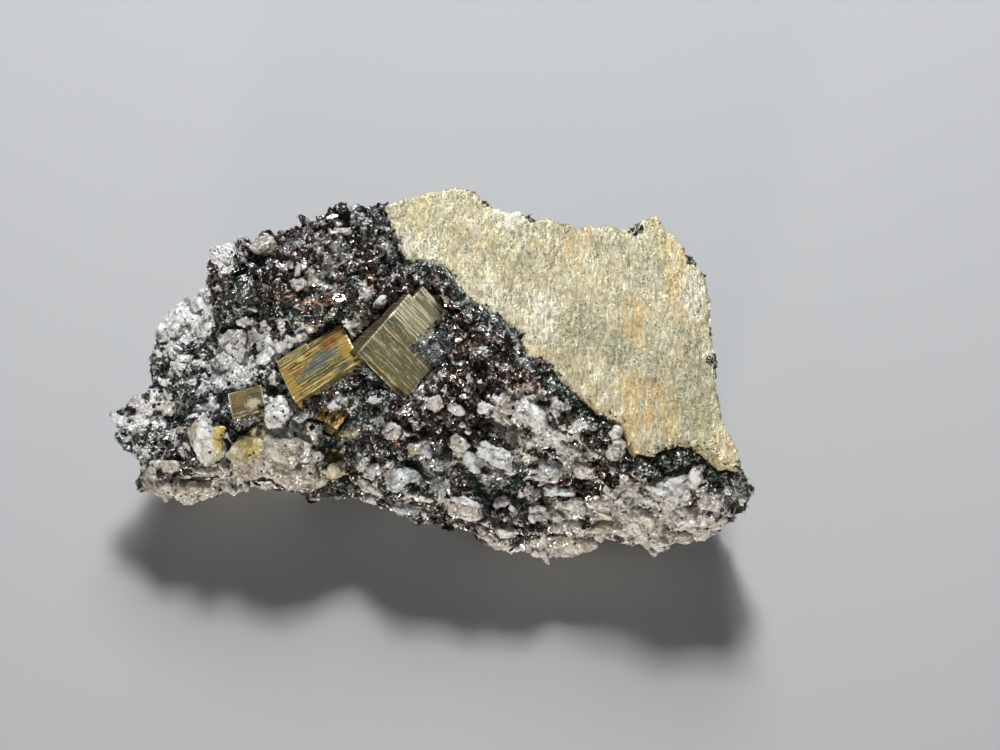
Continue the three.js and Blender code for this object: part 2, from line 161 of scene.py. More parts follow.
@dataclass(frozen=True)
class CellFit:
    """How points stand in their cells, with distances as shares of a cell.

    Gap is how much farther the next cell's middle is than its own, tone and draw are two random numbers of
    the cell, tilt is the cell's own random direction, and lean how far the point stands along it.
    """

    gap: np.ndarray
    tone: np.ndarray
    draw: np.ndarray
    tilt: np.ndarray
    lean: np.ndarray

    def hackly(self) -> np.ndarray:
        """Relief of flat tilted facets with steps between them, about -1 to 1."""
        return 1.1 * (self.tone - 0.5) + 0.9 * self.lean

    def cleft(self, width: float = 0.3) -> np.ndarray:
        """1 on the border between two cells and 0 away from it."""
        return 1 - rising(self.gap, 0, width)


@dataclass(frozen=True)
class Cells:
    """Space broken into irregular cells, as a rock breaks into grains."""

    seed: int
    cell: float

    def fit(self, points: np.ndarray) -> CellFit:
        """Finds the cell that each point is in.

        Args:
            points: places in plan millimetres, one to a row.

        Returns:
            How each place stands in its cell.
        """
        scaled = points / self.cell
        base = np.floor(scaled)
        near = np.full(len(points), np.inf)
        second = np.full(len(points), np.inf)
        home, gap = base.copy(), np.zeros_like(scaled)
        for shift in NEIGHBOURS:
            cell = base + shift
            reach = scaled - cell - np.stack([hashed(cell, self.seed + i) for i in range(3)], axis=1)
            distance = np.linalg.norm(reach, axis=1)
            closer = distance < near
            second = np.where(closer, near, np.minimum(second, distance))
            near = np.where(closer, distance, near)
            home[closer], gap[closer] = cell[closer], reach[closer]
        tone, draw = hashed(home, self.seed + 3), hashed(home, self.seed + 4)
        tilt = unit(np.stack([hashed(home, self.seed + 5 + i) for i in range(3)], axis=1) - 0.5)
        return CellFit(second - near, tone, draw, tilt, (gap * tilt).sum(axis=1))


@dataclass(frozen=True)
class Plan:
    """Where the plan's origin lies in the row frame, in millimetres."""

    shift: np.ndarray

    def metres(self, points: np.ndarray) -> np.ndarray:
        """Plan millimetres as the row frame's metres, with nothing below the surface it rests on.

        Args:
            points: places in plan millimetres, one to a row.

        Returns:
            The same places in metres.
        """
        moved = (np.asarray(points, float) + self.shift) * MM
        moved[..., 2] = np.maximum(moved[..., 2], 0)
        return moved

    def millimetres(self, points: np.ndarray) -> np.ndarray:
        """The row frame's metres as plan millimetres."""
        return points / MM - self.shift


@dataclass
class Soup:
    """Triangles in plan millimetres, with named numbers on their corners."""

    points: np.ndarray
    faces: np.ndarray
    values: dict[str, np.ndarray] = field(default_factory=dict)

    @classmethod
    def joined(cls, parts: "Iterable[Soup]") -> "Soup":
        """All the parts as one, with the values that they share.

        Args:
            parts: the parts, which hold the same values.

        Returns:
            One soup of them all.
        """
        parts = list(parts)
        starts = np.cumsum([0] + [len(part.points) for part in parts[:-1]])
        faces = np.concatenate([part.faces + start for part, start in zip(parts, starts)])
        values = {key: np.concatenate([part.values[key] for part in parts]) for key in parts[0].values}
        return cls(np.concatenate([part.points for part in parts]), faces, values)

    @classmethod
    def of_object(cls, source: bpy.types.Object, plan: Plan) -> "Soup":
        """The triangles that an object shows, with its modifiers.

        Args:
            source: the Blender object.
            plan: where the plan lies.

        Returns:
            Its triangles, in plan millimetres.
        """
        shown = source.evaluated_get(bpy.context.evaluated_depsgraph_get()).to_mesh()
        shown.calc_loop_triangles()
        points = np.empty((len(shown.vertices), 3))
        shown.vertices.foreach_get("co", points.ravel())
        faces = np.empty((len(shown.loop_triangles), 3), int)
        shown.loop_triangles.foreach_get("vertices", faces.ravel())
        return cls(plan.millimetres(points), faces)

    def remeshed(self, voxel: float, plan: Plan) -> "Soup":
        """Its outer skin in even small triangles, with overlapping parts fused.

        Args:
            voxel: the size of the new triangles, in millimetres.
            plan: where the plan lies.

        Returns:
            The new skin.
        """
        rough = self.build("rough", plan, None)
        modifier = rough.modifiers.new("skin", "REMESH")
        modifier.mode = "VOXEL"
        modifier.voxel_size = voxel * MM
        skin = Soup.of_object(rough, plan)
        bpy.data.objects.remove(rough)
        return skin

    def normals(self) -> np.ndarray:
        """The outward direction at each point.

        Returns:
            A direction of length 1 for each point.
        """
        sides = self.face_normals()
        total = np.zeros_like(self.points)
        for corner in range(3):
            np.add.at(total, self.faces[:, corner], sides)
        return unit(total)

    def face_normals(self) -> np.ndarray:
        """Each triangle's outward direction, twice its area long."""
        a, b, c = (self.points[self.faces[:, i]] for i in range(3))
        return np.cross(b - a, c - a)

    def build(
        self, name: str, plan: Plan, material: bpy.types.Material | None, smooth: bool = False
    ) -> bpy.types.Object:
        """Makes an object of the triangles.

        Args:
            name: the object's name.
            plan: where the plan lies in the row frame.
            material: its finish, or None for a helper that isn't kept.
            smooth: whether it is shaded round rather than flat.

        Returns:
            The object, at the origin of the row frame.
        """
        mesh = bpy.data.meshes.new(name)
        mesh.vertices.add(len(self.points))
        mesh.vertices.foreach_set("co", plan.metres(self.points).astype(np.float32).ravel())
        mesh.loops.add(self.faces.size)
        mesh.loops.foreach_set("vertex_index", self.faces.astype(np.int32).ravel())
        mesh.polygons.add(len(self.faces))
        mesh.polygons.foreach_set("loop_start", np.arange(0, self.faces.size, 3, dtype=np.int32))
        for key, numbers in self.values.items():
            mesh.attributes.new(key, "FLOAT", "POINT").data.foreach_set("value", numbers.astype(np.float32))
        mesh.update(calc_edges=True)
        mesh.polygons.foreach_set("use_smooth", [smooth] * len(self.faces))
        mesh.validate()
        if material:
            mesh.materials.append(material)
        made = bpy.data.objects.new(name, mesh)
        bpy.context.scene.collection.objects.link(made)
        return made


@dataclass
class Value:
    """A number that varies over a surface, with Python's arithmetic."""

    shader: "Shader"
    socket: Socket

    def __add__(self, other: "Value | float") -> "Value":
        """Sum."""
        return self.shader.math("ADD", self, other)

    def __radd__(self, other: float) -> "Value":
        """Sum, from the right."""
        return self.shader.math("ADD", other, self)

    def __sub__(self, other: "Value | float") -> "Value":
        """Difference."""
        return self.shader.math("SUBTRACT", self, other)

    def __rsub__(self, other: float) -> "Value":
        """Difference, from the right."""
        return self.shader.math("SUBTRACT", other, self)

    def __mul__(self, other: "Value | float") -> "Value":
        """Product."""
        return self.shader.math("MULTIPLY", self, other)

    def __rmul__(self, other: float) -> "Value":
        """Product, from the right."""
        return self.shader.math("MULTIPLY", other, self)

    def step(self, low: float, high: float) -> "Value":
        """A smooth step from 0 at low to 1 at high.

        Args:
            low: the number that gives 0.
            high: the number that gives 1.

        Returns:
            The step's height.
        """
        settings = {"interpolation_type": "SMOOTHSTEP"}
        node = self.shader.node("ShaderNodeMapRange", settings, {0: self, 1: low, 2: high})
        return Value(self.shader, node.outputs[0])


Input = Value | Socket | float | Colour


class Shader:
    """A material under construction."""

    def __init__(self, name: str) -> None:
        """Starts a material with one Principled surface.

        Args:
            name: the material's name.
        """
        self.material = bpy.data.materials.new(name)
        self.material.use_nodes = True
        self.tree = self.material.node_tree
        self.surface = self.tree.nodes["Principled BSDF"]
        self.place = self.node("ShaderNodeTexCoord", {}, {}).outputs["Object"]

    def node(self, kind: str, settings: dict, sockets: dict) -> bpy.types.Node:
        """Adds a node.

        Args:
            kind: the node's type.
            settings: its properties, set first. A colour ramp takes "stops", pairs of place and colour.
            sockets: numbers, colours, Values or sockets for its inputs, by name or index.

        Returns:
            The node.
        """
        made = self.tree.nodes.new(kind)
        for name, setting in settings.items():
            if name == "stops":
                self.set_stops(made.color_ramp, setting)
            else:
                setattr(made, name, setting)
        for name, value in sockets.items():
            self.feed(made.inputs[name], value)
        return made

    @staticmethod
    def set_stops(ramp: bpy.types.ColorRamp, marks: Stops) -> None:
        """Gives a ramp its stops in place of its two own ones.

        Args:
            ramp: the ramp's node.
            marks: the stops.
        """
        ramp.elements.remove(ramp.elements[-1])
        ramp.elements[0].position, ramp.elements[0].color = marks[0]
        for place, colour in marks[1:]:
            ramp.elements.new(place).color = colour

    def feed(self, entry: Socket, value: Input) -> None:
        """Links a varying value to an input, or sets a constant on it.

        Args:
            entry: the input.
            value: what goes into it.
        """
        if isinstance(value, Value):
            value = value.socket
        if isinstance(value, Socket):
            self.tree.links.new(value, entry)
        else:
            entry.default_value = value

    def math(self, operation: str, a: Value | float, b: Value | float) -> Value:
        """One step of arithmetic."""
        return Value(self, self.node("ShaderNodeMath", {"operation": operation}, {0: a, 1: b}).outputs[0])

    def attribute(self, name: str) -> Value:
        """A named number of the mesh."""
        node = self.node("ShaderNodeAttribute", {"attribute_name": name}, {})
        return Value(self, node.outputs["Fac"])

    def stretched(self, stretch: Triple) -> Socket:
        """Places with each direction scaled, so that a pattern on them is drawn out."""
        node = self.node("ShaderNodeVectorMath", {"operation": "MULTIPLY"}, {0: self.place, 1: stretch})
        return node.outputs["Vector"]

    def noise(self, cell: float, detail: float = 2, stretch: Triple = (1, 1, 1)) -> Value:
        """Smooth noise about 0.5, with its cell in millimetres."""
        return self.noise_over(self.stretched(stretch), 1 / (cell * MM), detail)

    def noise_over(self, place: Socket, scale: float, detail: float = 2) -> Value:
        """Smooth noise about 0.5 over any coordinates."""
        sockets = {"Vector": place, "Scale": scale, "Detail": detail}
        return Value(self, self.node("ShaderNodeTexNoise", {}, sockets).outputs[0])

    def cells(self, cell: float) -> bpy.types.Node:
        """A pattern of irregular cells of this size in millimetres."""
        return self.node("ShaderNodeTexVoronoi", {}, {"Vector": self.place, "Scale": 1 / (cell * MM)})

    def flecks(self, cell: float) -> Value:
        """A random number from 0 to 1 for each of many small cells."""
        split = self.node("ShaderNodeSeparateColor", {}, {0: self.cells(cell).outputs["Color"]})
        return Value(self, split.outputs[0])

    def facets(self, cell: float) -> Value:
        """Relief of small flat facets, each tilted its own way, with its cell in millimetres.

        Args:
            cell: the facets' size.

        Returns:
            The relief's height.
        """
        scale = 1 / (cell * MM)
        cells = self.cells(cell)
        middle, draw = cells.outputs["Position"], cells.outputs["Color"]
        away = self.node("ShaderNodeVectorMath", {"operation": "SUBTRACT"}, {0: self.place, 1: middle})
        settings = {"operation": "MULTIPLY_ADD"}
        tilt = self.node("ShaderNodeVectorMath", settings, {0: draw, 1: (2 * scale,) * 3, 2: (-scale,) * 3})
        sockets = {0: away.outputs[0], 1: tilt.outputs[0]}
        product = self.node("ShaderNodeVectorMath", {"operation": "DOT_PRODUCT"}, sockets)
        return Value(self, product.outputs["Value"])

    def ramp(self, share: Value, marks: Stops) -> Socket:
        """A colour that follows a number through colour stops."""
        return self.node("ShaderNodeValToRGB", {"stops": marks}, {0: share}).outputs["Color"]

    def mixed(
        self, share: Value | float, first: Socket | Colour, second: Socket | Colour, blend: str = "MIX"
    ) -> Socket:
        """Two colours blended by a share of the second."""
        settings = {"data_type": "RGBA", "blend_type": blend}
        return self.node("ShaderNodeMix", settings, {0: share, 6: first, 7: second}).outputs[2]

    def shaded(self, colour: Socket, light: Value) -> Socket:
        """A colour made lighter or darker by a factor."""
        grey = self.node("ShaderNodeCombineColor", {}, {0: light, 1: light, 2: light}).outputs[0]
        return self.mixed(1.0, colour, grey, "MULTIPLY")

    def bump(self, height: Value, depth: float) -> Socket:
        """Fine relief, with its depth in millimetres."""
        sockets = {"Height": height, "Distance": depth * MM, "Strength": 1.0}
        return self.node("ShaderNodeBump", {}, sockets).outputs["Normal"]

    def dress(self, **sockets: Input) -> bpy.types.Material:
        """Feeds the surface, with underscores for the blanks of socket names, and gives the material.

        Args:
            sockets: what each input of the surface takes.

        Returns:
            The material.
        """
        for name, value in sockets.items():
            self.feed(self.surface.inputs[name.replace("_", " ")], value)
        return self.material


class Mineral(Enum):
    """What a stretch of the rock is made of. The value names the mesh attribute with its share."""

    BIOTITE = "biotite_share"
    CHLORITE = "chlorite_share"
    MUSCOVITE = "muscovite_share"
    FELDSPAR = "feldspar_share"
    QUARTZ = "quartz_share"


EDGE = Noise(seed=11, cell=1.9)  # makes the edges of patches ragged
LEVEL_BLUR = 0.8  # millimetres over which a patch fades at its levels
Shares = dict[Mineral, np.ndarray]


@dataclass(frozen=True)
class Spot:
    """A patch with a ragged edge: an ellipse seen from above, between two levels."""

    centre: Pair
    reach: Pair
    turn: float = 0
    levels: Pair = (-1, 99)
    strength: float = 1

    def share(self, points: np.ndarray) -> np.ndarray:
        """How much of each point the spot takes.

        Args:
            points: places in plan millimetres, one to a row.

        Returns:
            1 in the spot's middle, 0 away from it.
        """
        angle = math.radians(self.turn)
        x, y = points[:, 0] - self.centre[0], points[:, 1] - self.centre[1]
        along = (x * math.cos(angle) + y * math.sin(angle)) / self.reach[0]
        across = (y * math.cos(angle) - x * math.sin(angle)) / self.reach[1]
        away = np.hypot(along, across) + 0.22 * EDGE.layered(points)
        low, high = self.levels
        inside = rising(points[:, 2], low - LEVEL_BLUR, low + LEVEL_BLUR)
        inside = inside * rising(-points[:, 2], -high - LEVEL_BLUR, -high + LEVEL_BLUR)
        return self.strength * rising(-away, -1.12, -0.92) * inside


@dataclass(frozen=True)
class Vein:
    """A patch with a ragged edge along a line seen from above."""

    line: tuple[Pair, ...]
    reach: float
    strength: float = 1

    def share(self, points: np.ndarray) -> np.ndarray:
        """How much of each point the vein takes."""
        away = distance_to_line(points[:, :2], np.array(self.line)) / self.reach + 0.3 * EDGE.layered(points)
        return self.strength * rising(-away, -1.15, -0.85)


def distance_to_line(points: np.ndarray, line: np.ndarray) -> np.ndarray:
    """The distance of each point in the plan to a line of straight stretches.

    Args:
        points: places in the plan, one to a row.
        line: the line's corners.

    Returns:
        A distance for each place, in millimetres.
    """
    nearest = np.full(len(points), np.inf)
    for start, end in zip(line[:-1], line[1:]):
        run = end - start
        share = np.clip((points - start) @ run / (run @ run), 0, 1)
        nearest = np.minimum(nearest, np.linalg.norm(points - start - share[:, None] * run, axis=1))
    return nearest


PLATE_OUTLINE = (
    (-6.4, 21.7), (-4.9, 19.2), (-3.9, 15.5), (-0.8, 15.5), (2.1, 14.4), (4.2, 11.1), (7.2, 8.3),
    (10.5, 6.3), (13.5, 3.7), (14.5, -0.1), (17.6, -1.2), (19.6, -3.8), (22.7, -6.2), (25.2, -8.5),
    (28.4, -10.4), (30.1, -14.2), (33.2, -14.5), (36.6, -12.7), (39.8, -13.5), (42.9, -16.0), (45.9, -16.3),
)

MINERALS = (
    (Mineral.FELDSPAR, (
        Spot((-33, 6), (12, 9), 20, strength=0.72), Spot((-36.8, 9.5), (5, 6.4), strength=0.9),
    )),
    (Mineral.CHLORITE, (Spot((-42.5, -2), (7, 6), 10, strength=0.5),)),
    (Mineral.FELDSPAR, (Spot((-44, -5), (5, 2.6), strength=0.5),)),
    (Mineral.CHLORITE, (
        Spot((-38, 1.2), (4.5, 2.2), strength=0.8), Spot((-41.5, 4.5), (2, 3.5), 20, strength=0.6),
        Spot((-33, -3.4), (6, 1.8), -10, strength=0.75), Spot((-24.3, -1.4), (2.6, 1.8), 20, strength=0.9),
        Spot((-46.8, -7.6), (2, 2), strength=0.95),
    )),
    (Mineral.BIOTITE, (Spot((1, -14), (20, 7), 0, (8, 24), 0.7),)),
    (Mineral.CHLORITE, (Spot((1, -14), (20, 7), 0, (8, 24), 0.4),)),
    (Mineral.QUARTZ, (Spot((1, -14), (20, 7), 0, (8, 24), 0.22),)),
    (Mineral.BIOTITE, (Spot((21, -15), (9, 4), 0, (12, 26), 0.5),)),
    (Mineral.QUARTZ, (Spot((21, -15), (9, 4), 0, (12, 26), 0.4),)),
    (Mineral.FELDSPAR, (
        Spot((-22.4, -6), (3.4, 2.8), strength=0.95), Spot((-25, 3), (7, 4), 20, strength=0.5),
        Spot((-40, -2), (7, 5), strength=0.3),
    )),
    (Mineral.CHLORITE, (
        Vein(((-38.2, 5.6), (-34.9, 5.4), (-32.6, 6.2)), 0.9, 0.85),
        Vein(((-33.4, 7.4), (-30.6, 7), (-28, 7.4)), 0.7, 0.8), Spot((-41, 3.1), (2.4, 1), strength=0.8),
    )),
    (Mineral.BIOTITE, (Vein(((-32.6, -5.4), (-30, -6.2), (-27.5, -6.8)), 0.6, 0.95),)),
    (Mineral.CHLORITE, (Spot((-28.5, -7.6), (4, 1.4), -15, strength=0.8),)),
    (Mineral.QUARTZ, (
        Spot((-22, -11.5), (9, 4.2), 0, (15.5, 24), 0.85), Spot((-37, -11), (13, 7), 0, (-1, 14)),
    )),
    (Mineral.BIOTITE, (
        Spot((-32, -12.5), (13, 4), 0, (13.2, 16.6), 0.85), Spot((-18, -13.5), (12, 3), 0, (10, 15), 0.8),
    )),
    (Mineral.QUARTZ, (
        Spot((36, -18), (18, 5), 5, (-1, 22.5), 0.92), Spot((20, -21), (14, 3.4), 0, (-1, 12.5), 0.92),
    )),
    (Mineral.BIOTITE, (Spot((10, -20), (6, 4), 0, (11, 16), 0.8),)),
    (Mineral.CHLORITE, (
        Spot((10.5, -16), (4.2, 3), strength=0.8), Spot((-13.8, -10.6), (3, 4.6), strength=0.75),
        Spot((-9, -7), (5, 4), -30, strength=0.6),
    )),
    (Mineral.BIOTITE, (
        Vein(((-3, 9), (3.1, 4.7), (7, 0.5), (11, -3)), 4.6, 0.86),
        Spot((5, -5), (5.4, 5), -60, strength=0.86),
        Vein(((11, -3), (16, -5), (22.3, -9.4), (27, -13)), 1.9, 0.85),
    )),
    (Mineral.QUARTZ, (Spot((16.5, -8.4), (7.4, 3.4), -22, strength=0.85),)),
    (Mineral.BIOTITE, (
        Spot((23.2, -16.1), (5, 1.4), strength=0.9), Spot((-3, -8.5), (3.5, 3), strength=0.7),
        Spot((-19.5, 15), (14.5, 8.6), 8, strength=0.82),
    )),
    (Mineral.CHLORITE, (
        Spot((-29.4, 10), (3.6, 3.4), 40, strength=0.85), Spot((-25.6, 15), (2, 3), strength=0.7),
        Spot((-16.5, 11.6), (3.4, 2), 30, strength=0.6),
    )),
    (Mineral.MUSCOVITE, (
        Spot((-14.5, 15), (2.6, 1.6), 60, strength=0.7), Spot((-19, 18), (4, 1.4), strength=0.5),
    )),
    (Mineral.CHLORITE, (
        Vein(((-29, 7.6), (-21, 7.8), (-12, 7.4)), 1.1, 0.9), Spot((-8.5, 21), (4, 3), strength=0.6),
    )),
    (Mineral.FELDSPAR, (Spot((-31, 18), (3, 3), strength=0.7),)),
    (Mineral.CHLORITE, (
        Vein(PLATE_OUTLINE, 1.9, 0.88), Spot((35.5, -15), (8, 1.6), strength=0.95),
        Spot((45.5, -15), (3, 3), strength=0.7),
    )),
    (Mineral.BIOTITE, (Vein(((46, -18), (48.5, -15)), 1.0, 0.55),)),
    (Mineral.MUSCOVITE, (
        Spot((44.6, -15.6), (2, 2.2), strength=0.5), Vein(((11.3, 4.6), (13, 1.2), (14.2, -1.2)), 1.1, 0.6),
        Spot((1.2, -15.4), (3, 1.8), strength=0.8), Spot((0.8, -13.4), (2.6, 2), strength=0.6),
        Spot((9.6, -14.8), (2.2, 1.4), strength=0.5),
        Vein(((-12.3, 16.3), (-14.9, 14.6), (-16.4, 12)), 1.2, 0.6),
    )),
    (Mineral.CHLORITE, (Spot((-11.4, 11.8), (1.8, 2.2), strength=0.8),)),
    (Mineral.MUSCOVITE, (Spot((0.8, 4.8), (2.6, 3), strength=0.75),)),
    (Mineral.BIOTITE, (Spot((40, -19), (1.8, 1), 20, (19, 26), 0.6),)),
    (Mineral.CHLORITE, (Spot((0.4, 7.6), (3, 1.6), -20, strength=0.7),)),
)
BEDDING = Noise(seed=23, cell=4.5)
BED_THICKNESS = 0.28  # of the bedding's pattern, against its length
BROAD_GRAINS, FINE_GRAINS = Cells(seed=31, cell=2.3), Cells(seed=39, cell=1.0)
FINE_SHARE = 0.45  # of the rock is broken into the finer grains
BELOW_ALL = 0.9999  # keeps a draw below the sum of the shares, which rounding may leave under 1


def mineral_shares(points: np.ndarray) -> Shares:
    """How common each mineral is around each point of the rock.

    Args:
        points: places in plan millimetres.

    Returns:
        For each mineral a share for each point. They add up to 1.
    """
    beds = BEDDING.layered(points / (1, 1, BED_THICKNESS))
    mottle = EDGE.layered(points * 0.6)
    shares = {
        Mineral.BIOTITE: 0.3 + 0.5 * rising(beds, 0.1, 0.5),
        Mineral.CHLORITE: 0.3 + 0.4 * rising(mottle, 0.1, 0.6),
        Mineral.MUSCOVITE: 0.16 + 0.2 * rising(-mottle, 0, 0.6),
        Mineral.FELDSPAR: 0.12 + 0.25 * rising(-beds, 0.2, 0.6),
        Mineral.QUARTZ: 0.12 + 0.8 * rising(-beds, 0.05, 0.5),
    }
    total = sum(shares.values())
    shares = {mineral: share / total for mineral, share in shares.items()}
    for named, areas in MINERALS:
        for area in areas:
            taken = area.share(points)
            shares = {mineral: share * (1 - taken) for mineral, share in shares.items()}
            shares[named] = shares[named] + taken
    return shares


@dataclass(frozen=True)
class Broken:
    """How the rock's surface breaks: each point's minerals, relief in millimetres, and how much painted shade
    darkens it where it is sunken.
    """

    shares: Shares
    relief: np.ndarray
    cavity: np.ndarray


@dataclass(frozen=True)
class Relief:
    """How a mineral breaks: the steps between larger and finer grains, the clefts, and how far grains bulge.

    All of them are in millimetres.
    """

    broad: float
    fine: float
    cleft: float
    bulge: float


RELIEFS = {
    Mineral.BIOTITE: Relief(0.45, 0.35, 0.5, 0.6),
    Mineral.CHLORITE: Relief(0.35, 0.3, 0.35, 0.4),
    Mineral.MUSCOVITE: Relief(0.4, 0.25, 0.3, 0.4),
    Mineral.FELDSPAR: Relief(0.32, 0.22, 0.2, 0.2),
    Mineral.QUARTZ: Relief(0.45, 0.26, 0.3, 0.35),
}


def broken_surface(points: np.ndarray) -> Broken:
    """Breaks the rock into grains of single minerals.

    Args:
        points: places in plan millimetres.

    Returns:
        One whole mineral for each point, and the relief that its grains give.
    """
    broad, fine = BROAD_GRAINS.fit(drawn_in(points)), FINE_GRAINS.fit(drawn_in(points, 0.3))
    common = mineral_shares(points)
    draw = np.where(fine.tone < FINE_SHARE, fine.draw, broad.draw)
    picked = (np.cumsum(list(common.values()), axis=0) < draw * BELOW_ALL).sum(axis=0)
    shares = {mineral: (picked == i).astype(float) for i, mineral in enumerate(common)}
    relief, cavity = np.zeros(len(points)), np.zeros(len(points))
    for mineral, share in shares.items():
        depth = RELIEFS[mineral]
        steps = depth.broad * broad.hackly() + depth.fine * fine.hackly() - depth.cleft * broad.cleft()
        relief += share * (steps + depth.bulge * rising(broad.gap, 0, 0.8))
        # Painted shade: the colour is darkened in the clefts between grains and in low places.
        cavity += share * depth.cleft * 1.6 * broad.cleft(0.22)
    relief += 0.1 * Noise(71, 0.9).layered(points)
    return Broken(shares, relief, np.clip(cavity + 0.7 * rising(-relief, 0.1, 0.8), 0, 1))


@dataclass(frozen=True)
class Stain:
    """A spot where iron has stained the rock: its place and reach in millimetres, and its strength."""

    place: Triple
    reach: float
    strength: float = 1

    def at(self, points: np.ndarray) -> np.ndarray:
        """How stained each point is."""
        away = np.linalg.norm(points - self.place, axis=1) / self.reach + 0.5 * EDGE.layered(points * 1.6)
        return self.strength * rising(-away, -1.1, -0.6)


STAINS = (
    Stain((-31.2, -8.4, 22.2), 1.5), Stain((-31, -10.4, 22), 1.5), Stain((-31.4, -12.2, 21), 1.2, 0.8),
    Stain((-35.4, -7.8, 22.4), 1.3, 0.5), Stain((-27.3, -10.0, 21), 3.0, 0.9),
    Stain((-25.4, -8.6, 22), 2.2, 0.6), Stain((45, -16, 24.2), 1.2, 0.6),
    Stain((25.6, -18.4, 15.4), 1.2, 0.8), Stain((18.2, -22.0, 10.4), 1.1, 0.8),
    Stain((-12.4, -9.0, 21.6), 1.6, 0.35), Stain((-14.6, -12.2, 17.6), 2, 0.6),
    Stain((13, 10, 31), 2.2, 0.4),
)


def stained(points: np.ndarray) -> np.ndarray:
    """How stained each point of the rock is, from 0 to 1."""
    return np.max([stain.at(points) for stain in STAINS], axis=0)


OCHRE = tint(206, 186, 104)
COPPER = tint(255, 200, 164)
COPPER_SPOTS = (
    Spot((-17.6, 8.4), (2.6, 1.4)), Spot((-9.6, 11.2), (1.4, 2)),
    Spot((-20.8, 10.3), (2.2, 1.4), strength=0.8), Spot((-24.9, 15.6), (2, 1.4), strength=0.7),
    Spot((-30.8, 11.4), (1.2, 1), strength=0.8), Spot((-5.4, -9.1), (1.8, 2), strength=0.7),
    Spot((27.5, -11.5), (2, 2.6), strength=0.8), Spot((5.5, 2.5), (1.2, 5), -30, strength=0.4),
    Spot((40, -19), (2, 1.2), strength=0.7), Spot((14.4, -4.4), (2, 1.2), strength=0.6),
    Spot((-9.5, 17.4), (2.2, 2.4), strength=0.4),
)


def coppery(points: np.ndarray) -> np.ndarray:
    """How much bronze and copper the mica shows at each point, from 0 to 1."""
    return np.max([spot.share(points) for spot in COPPER_SPOTS], axis=0)


LIGHT_REACH = (1.0, 0.9, 0.8)  # how far red, green and blue light goes into pale stone, against each other
SOAKED = {"Subsurface_Weight": 0.4, "Subsurface_Radius": LIGHT_REACH, "Subsurface_Scale": 1.2 * MM}


@dataclass(frozen=True)
class RockFinish:
    """The broken face of the rock.

    The flecks of each mineral run through the mineral's tints, over a grey ground. The palest flecks of
    chlorite and biotite are painted glints, and painted shade darkens the clefts, hollows and moats.
    """

    ground: tuple[Colour, Colour] = (tint(92, 94, 92), tint(214, 214, 210))
    specks: Colour = tint(20, 24, 21)
    relief_depth: float = 0.22  # millimetres
    # The pale tops of the chlorite and biotite tints are painted glints; the rest is the minerals' own
    # colour.
    tints: tuple[tuple[Mineral, Stops], ...] = (
        (Mineral.QUARTZ, stops((0.2, 178, 171, 160), (0.8, 246, 242, 235))),
        (Mineral.FELDSPAR, stops((0.2, 218, 218, 215), (0.8, 254, 254, 253))),
        (Mineral.CHLORITE, stops(
            (0.35, 12, 17, 16), (0.6, 52, 64, 56), (0.74, 140, 154, 144), (0.84, 244, 248, 246),
        )),
        (Mineral.BIOTITE, stops(
            (0.4, 15, 13, 14), (0.58, 52, 44, 40), (0.68, 116, 94, 82), (0.76, 190, 166, 152),
            (0.83, 250, 246, 246),
        )),
    )

    def material(self) -> bpy.types.Material:
        """Builds the finish.

        Returns:
            The material.
        """
        shader = Shader("rock_face")
        fleck = 0.55 * shader.flecks(0.35) + 0.35 * shader.flecks(0.9) + 0.3 * shader.noise(2.4, 3) - 0.1
        warm = shader.attribute("warm") * shader.attribute(Mineral.BIOTITE.value)
        fleck = fleck + 0.08 * warm
        colour = shader.mixed(fleck, *self.ground)
        blur = shader.noise(0.7, 3) - 0.5
        for mineral, shades in self.tints:
            share = (shader.attribute(mineral.value) + blur * 0.8).step(0.42, 0.56)
            colour = shader.mixed(share, colour, shader.ramp(fleck, shades))
        specks = shader.flecks(0.5).step(0.88, 0.9) * shader.noise(1.6).step(0.35, 0.6)
        colour = shader.mixed(specks, colour, self.specks)
        colour = shader.mixed(warm * 0.8, colour, COPPER, "MULTIPLY")
        colour = shader.mixed(shader.attribute("stain") * 0.8, colour, OCHRE)
        # Painted shade: darker in clefts, hollows and the moats round the large grains.
        colour = shader.shaded(colour, 1 - 0.8 * shader.attribute("cavity"))
        relief = shader.facets(0.4) + shader.facets(1.2) * 1.8 + shader.noise(0.5, 3) * 0.5
        return shader.dress(
            Base_Color=colour,
            Roughness=0.12 + 0.36 * shader.flecks(0.6),
            Normal=shader.bump(relief, self.relief_depth),
            Coat_Weight=0.4,
            Coat_Roughness=0.1,
            Subsurface_Weight=0.2,
            Subsurface_Radius=LIGHT_REACH,
            Subsurface_Scale=1.0 * MM,
        )


@dataclass(frozen=True)
class FlakeFinish:
    """The shine of flakes or grains whose colour follows a tone of their own."""

    name: str
    shades: Stops
    metal_from: float = 2  # the tone above which it shines like metal, and 2 for never
    metal: float = 0.8
    roughness: float = 0.3
    wear: float = 0.12
    relief_depth: float = 0.07  # millimetres
    soaked: bool = False

    def material(self) -> bpy.types.Material:
        """Builds the finish.

        Returns:
            The material.
        """
        shader = Shader(self.name)
        warm = shader.attribute("warm")
        tone = shader.attribute("tone") + 0.08 * warm + 0.2 * (shader.flecks(0.3) - 0.5)
        colour = shader.shaded(shader.ramp(tone, self.shades), 0.7 + 0.6 * shader.noise(0.35, 3))
        colour = shader.mixed(warm * 0.8, colour, COPPER, "MULTIPLY")
        colour = shader.mixed(shader.attribute("stain") * 0.7, colour, OCHRE)
        fuzz = shader.noise(0.15, 2) - 0.5
        relief = shader.facets(0.34) + shader.noise(0.12, 2) * 0.2
        return shader.dress(
            Base_Color=colour,
            Metallic=tone.step(self.metal_from - 0.05, self.metal_from + 0.05) * self.metal,
            Roughness=self.roughness + fuzz * self.wear,
            Normal=shader.bump(relief, self.relief_depth),
            **(SOAKED if self.soaked else {}),
        )
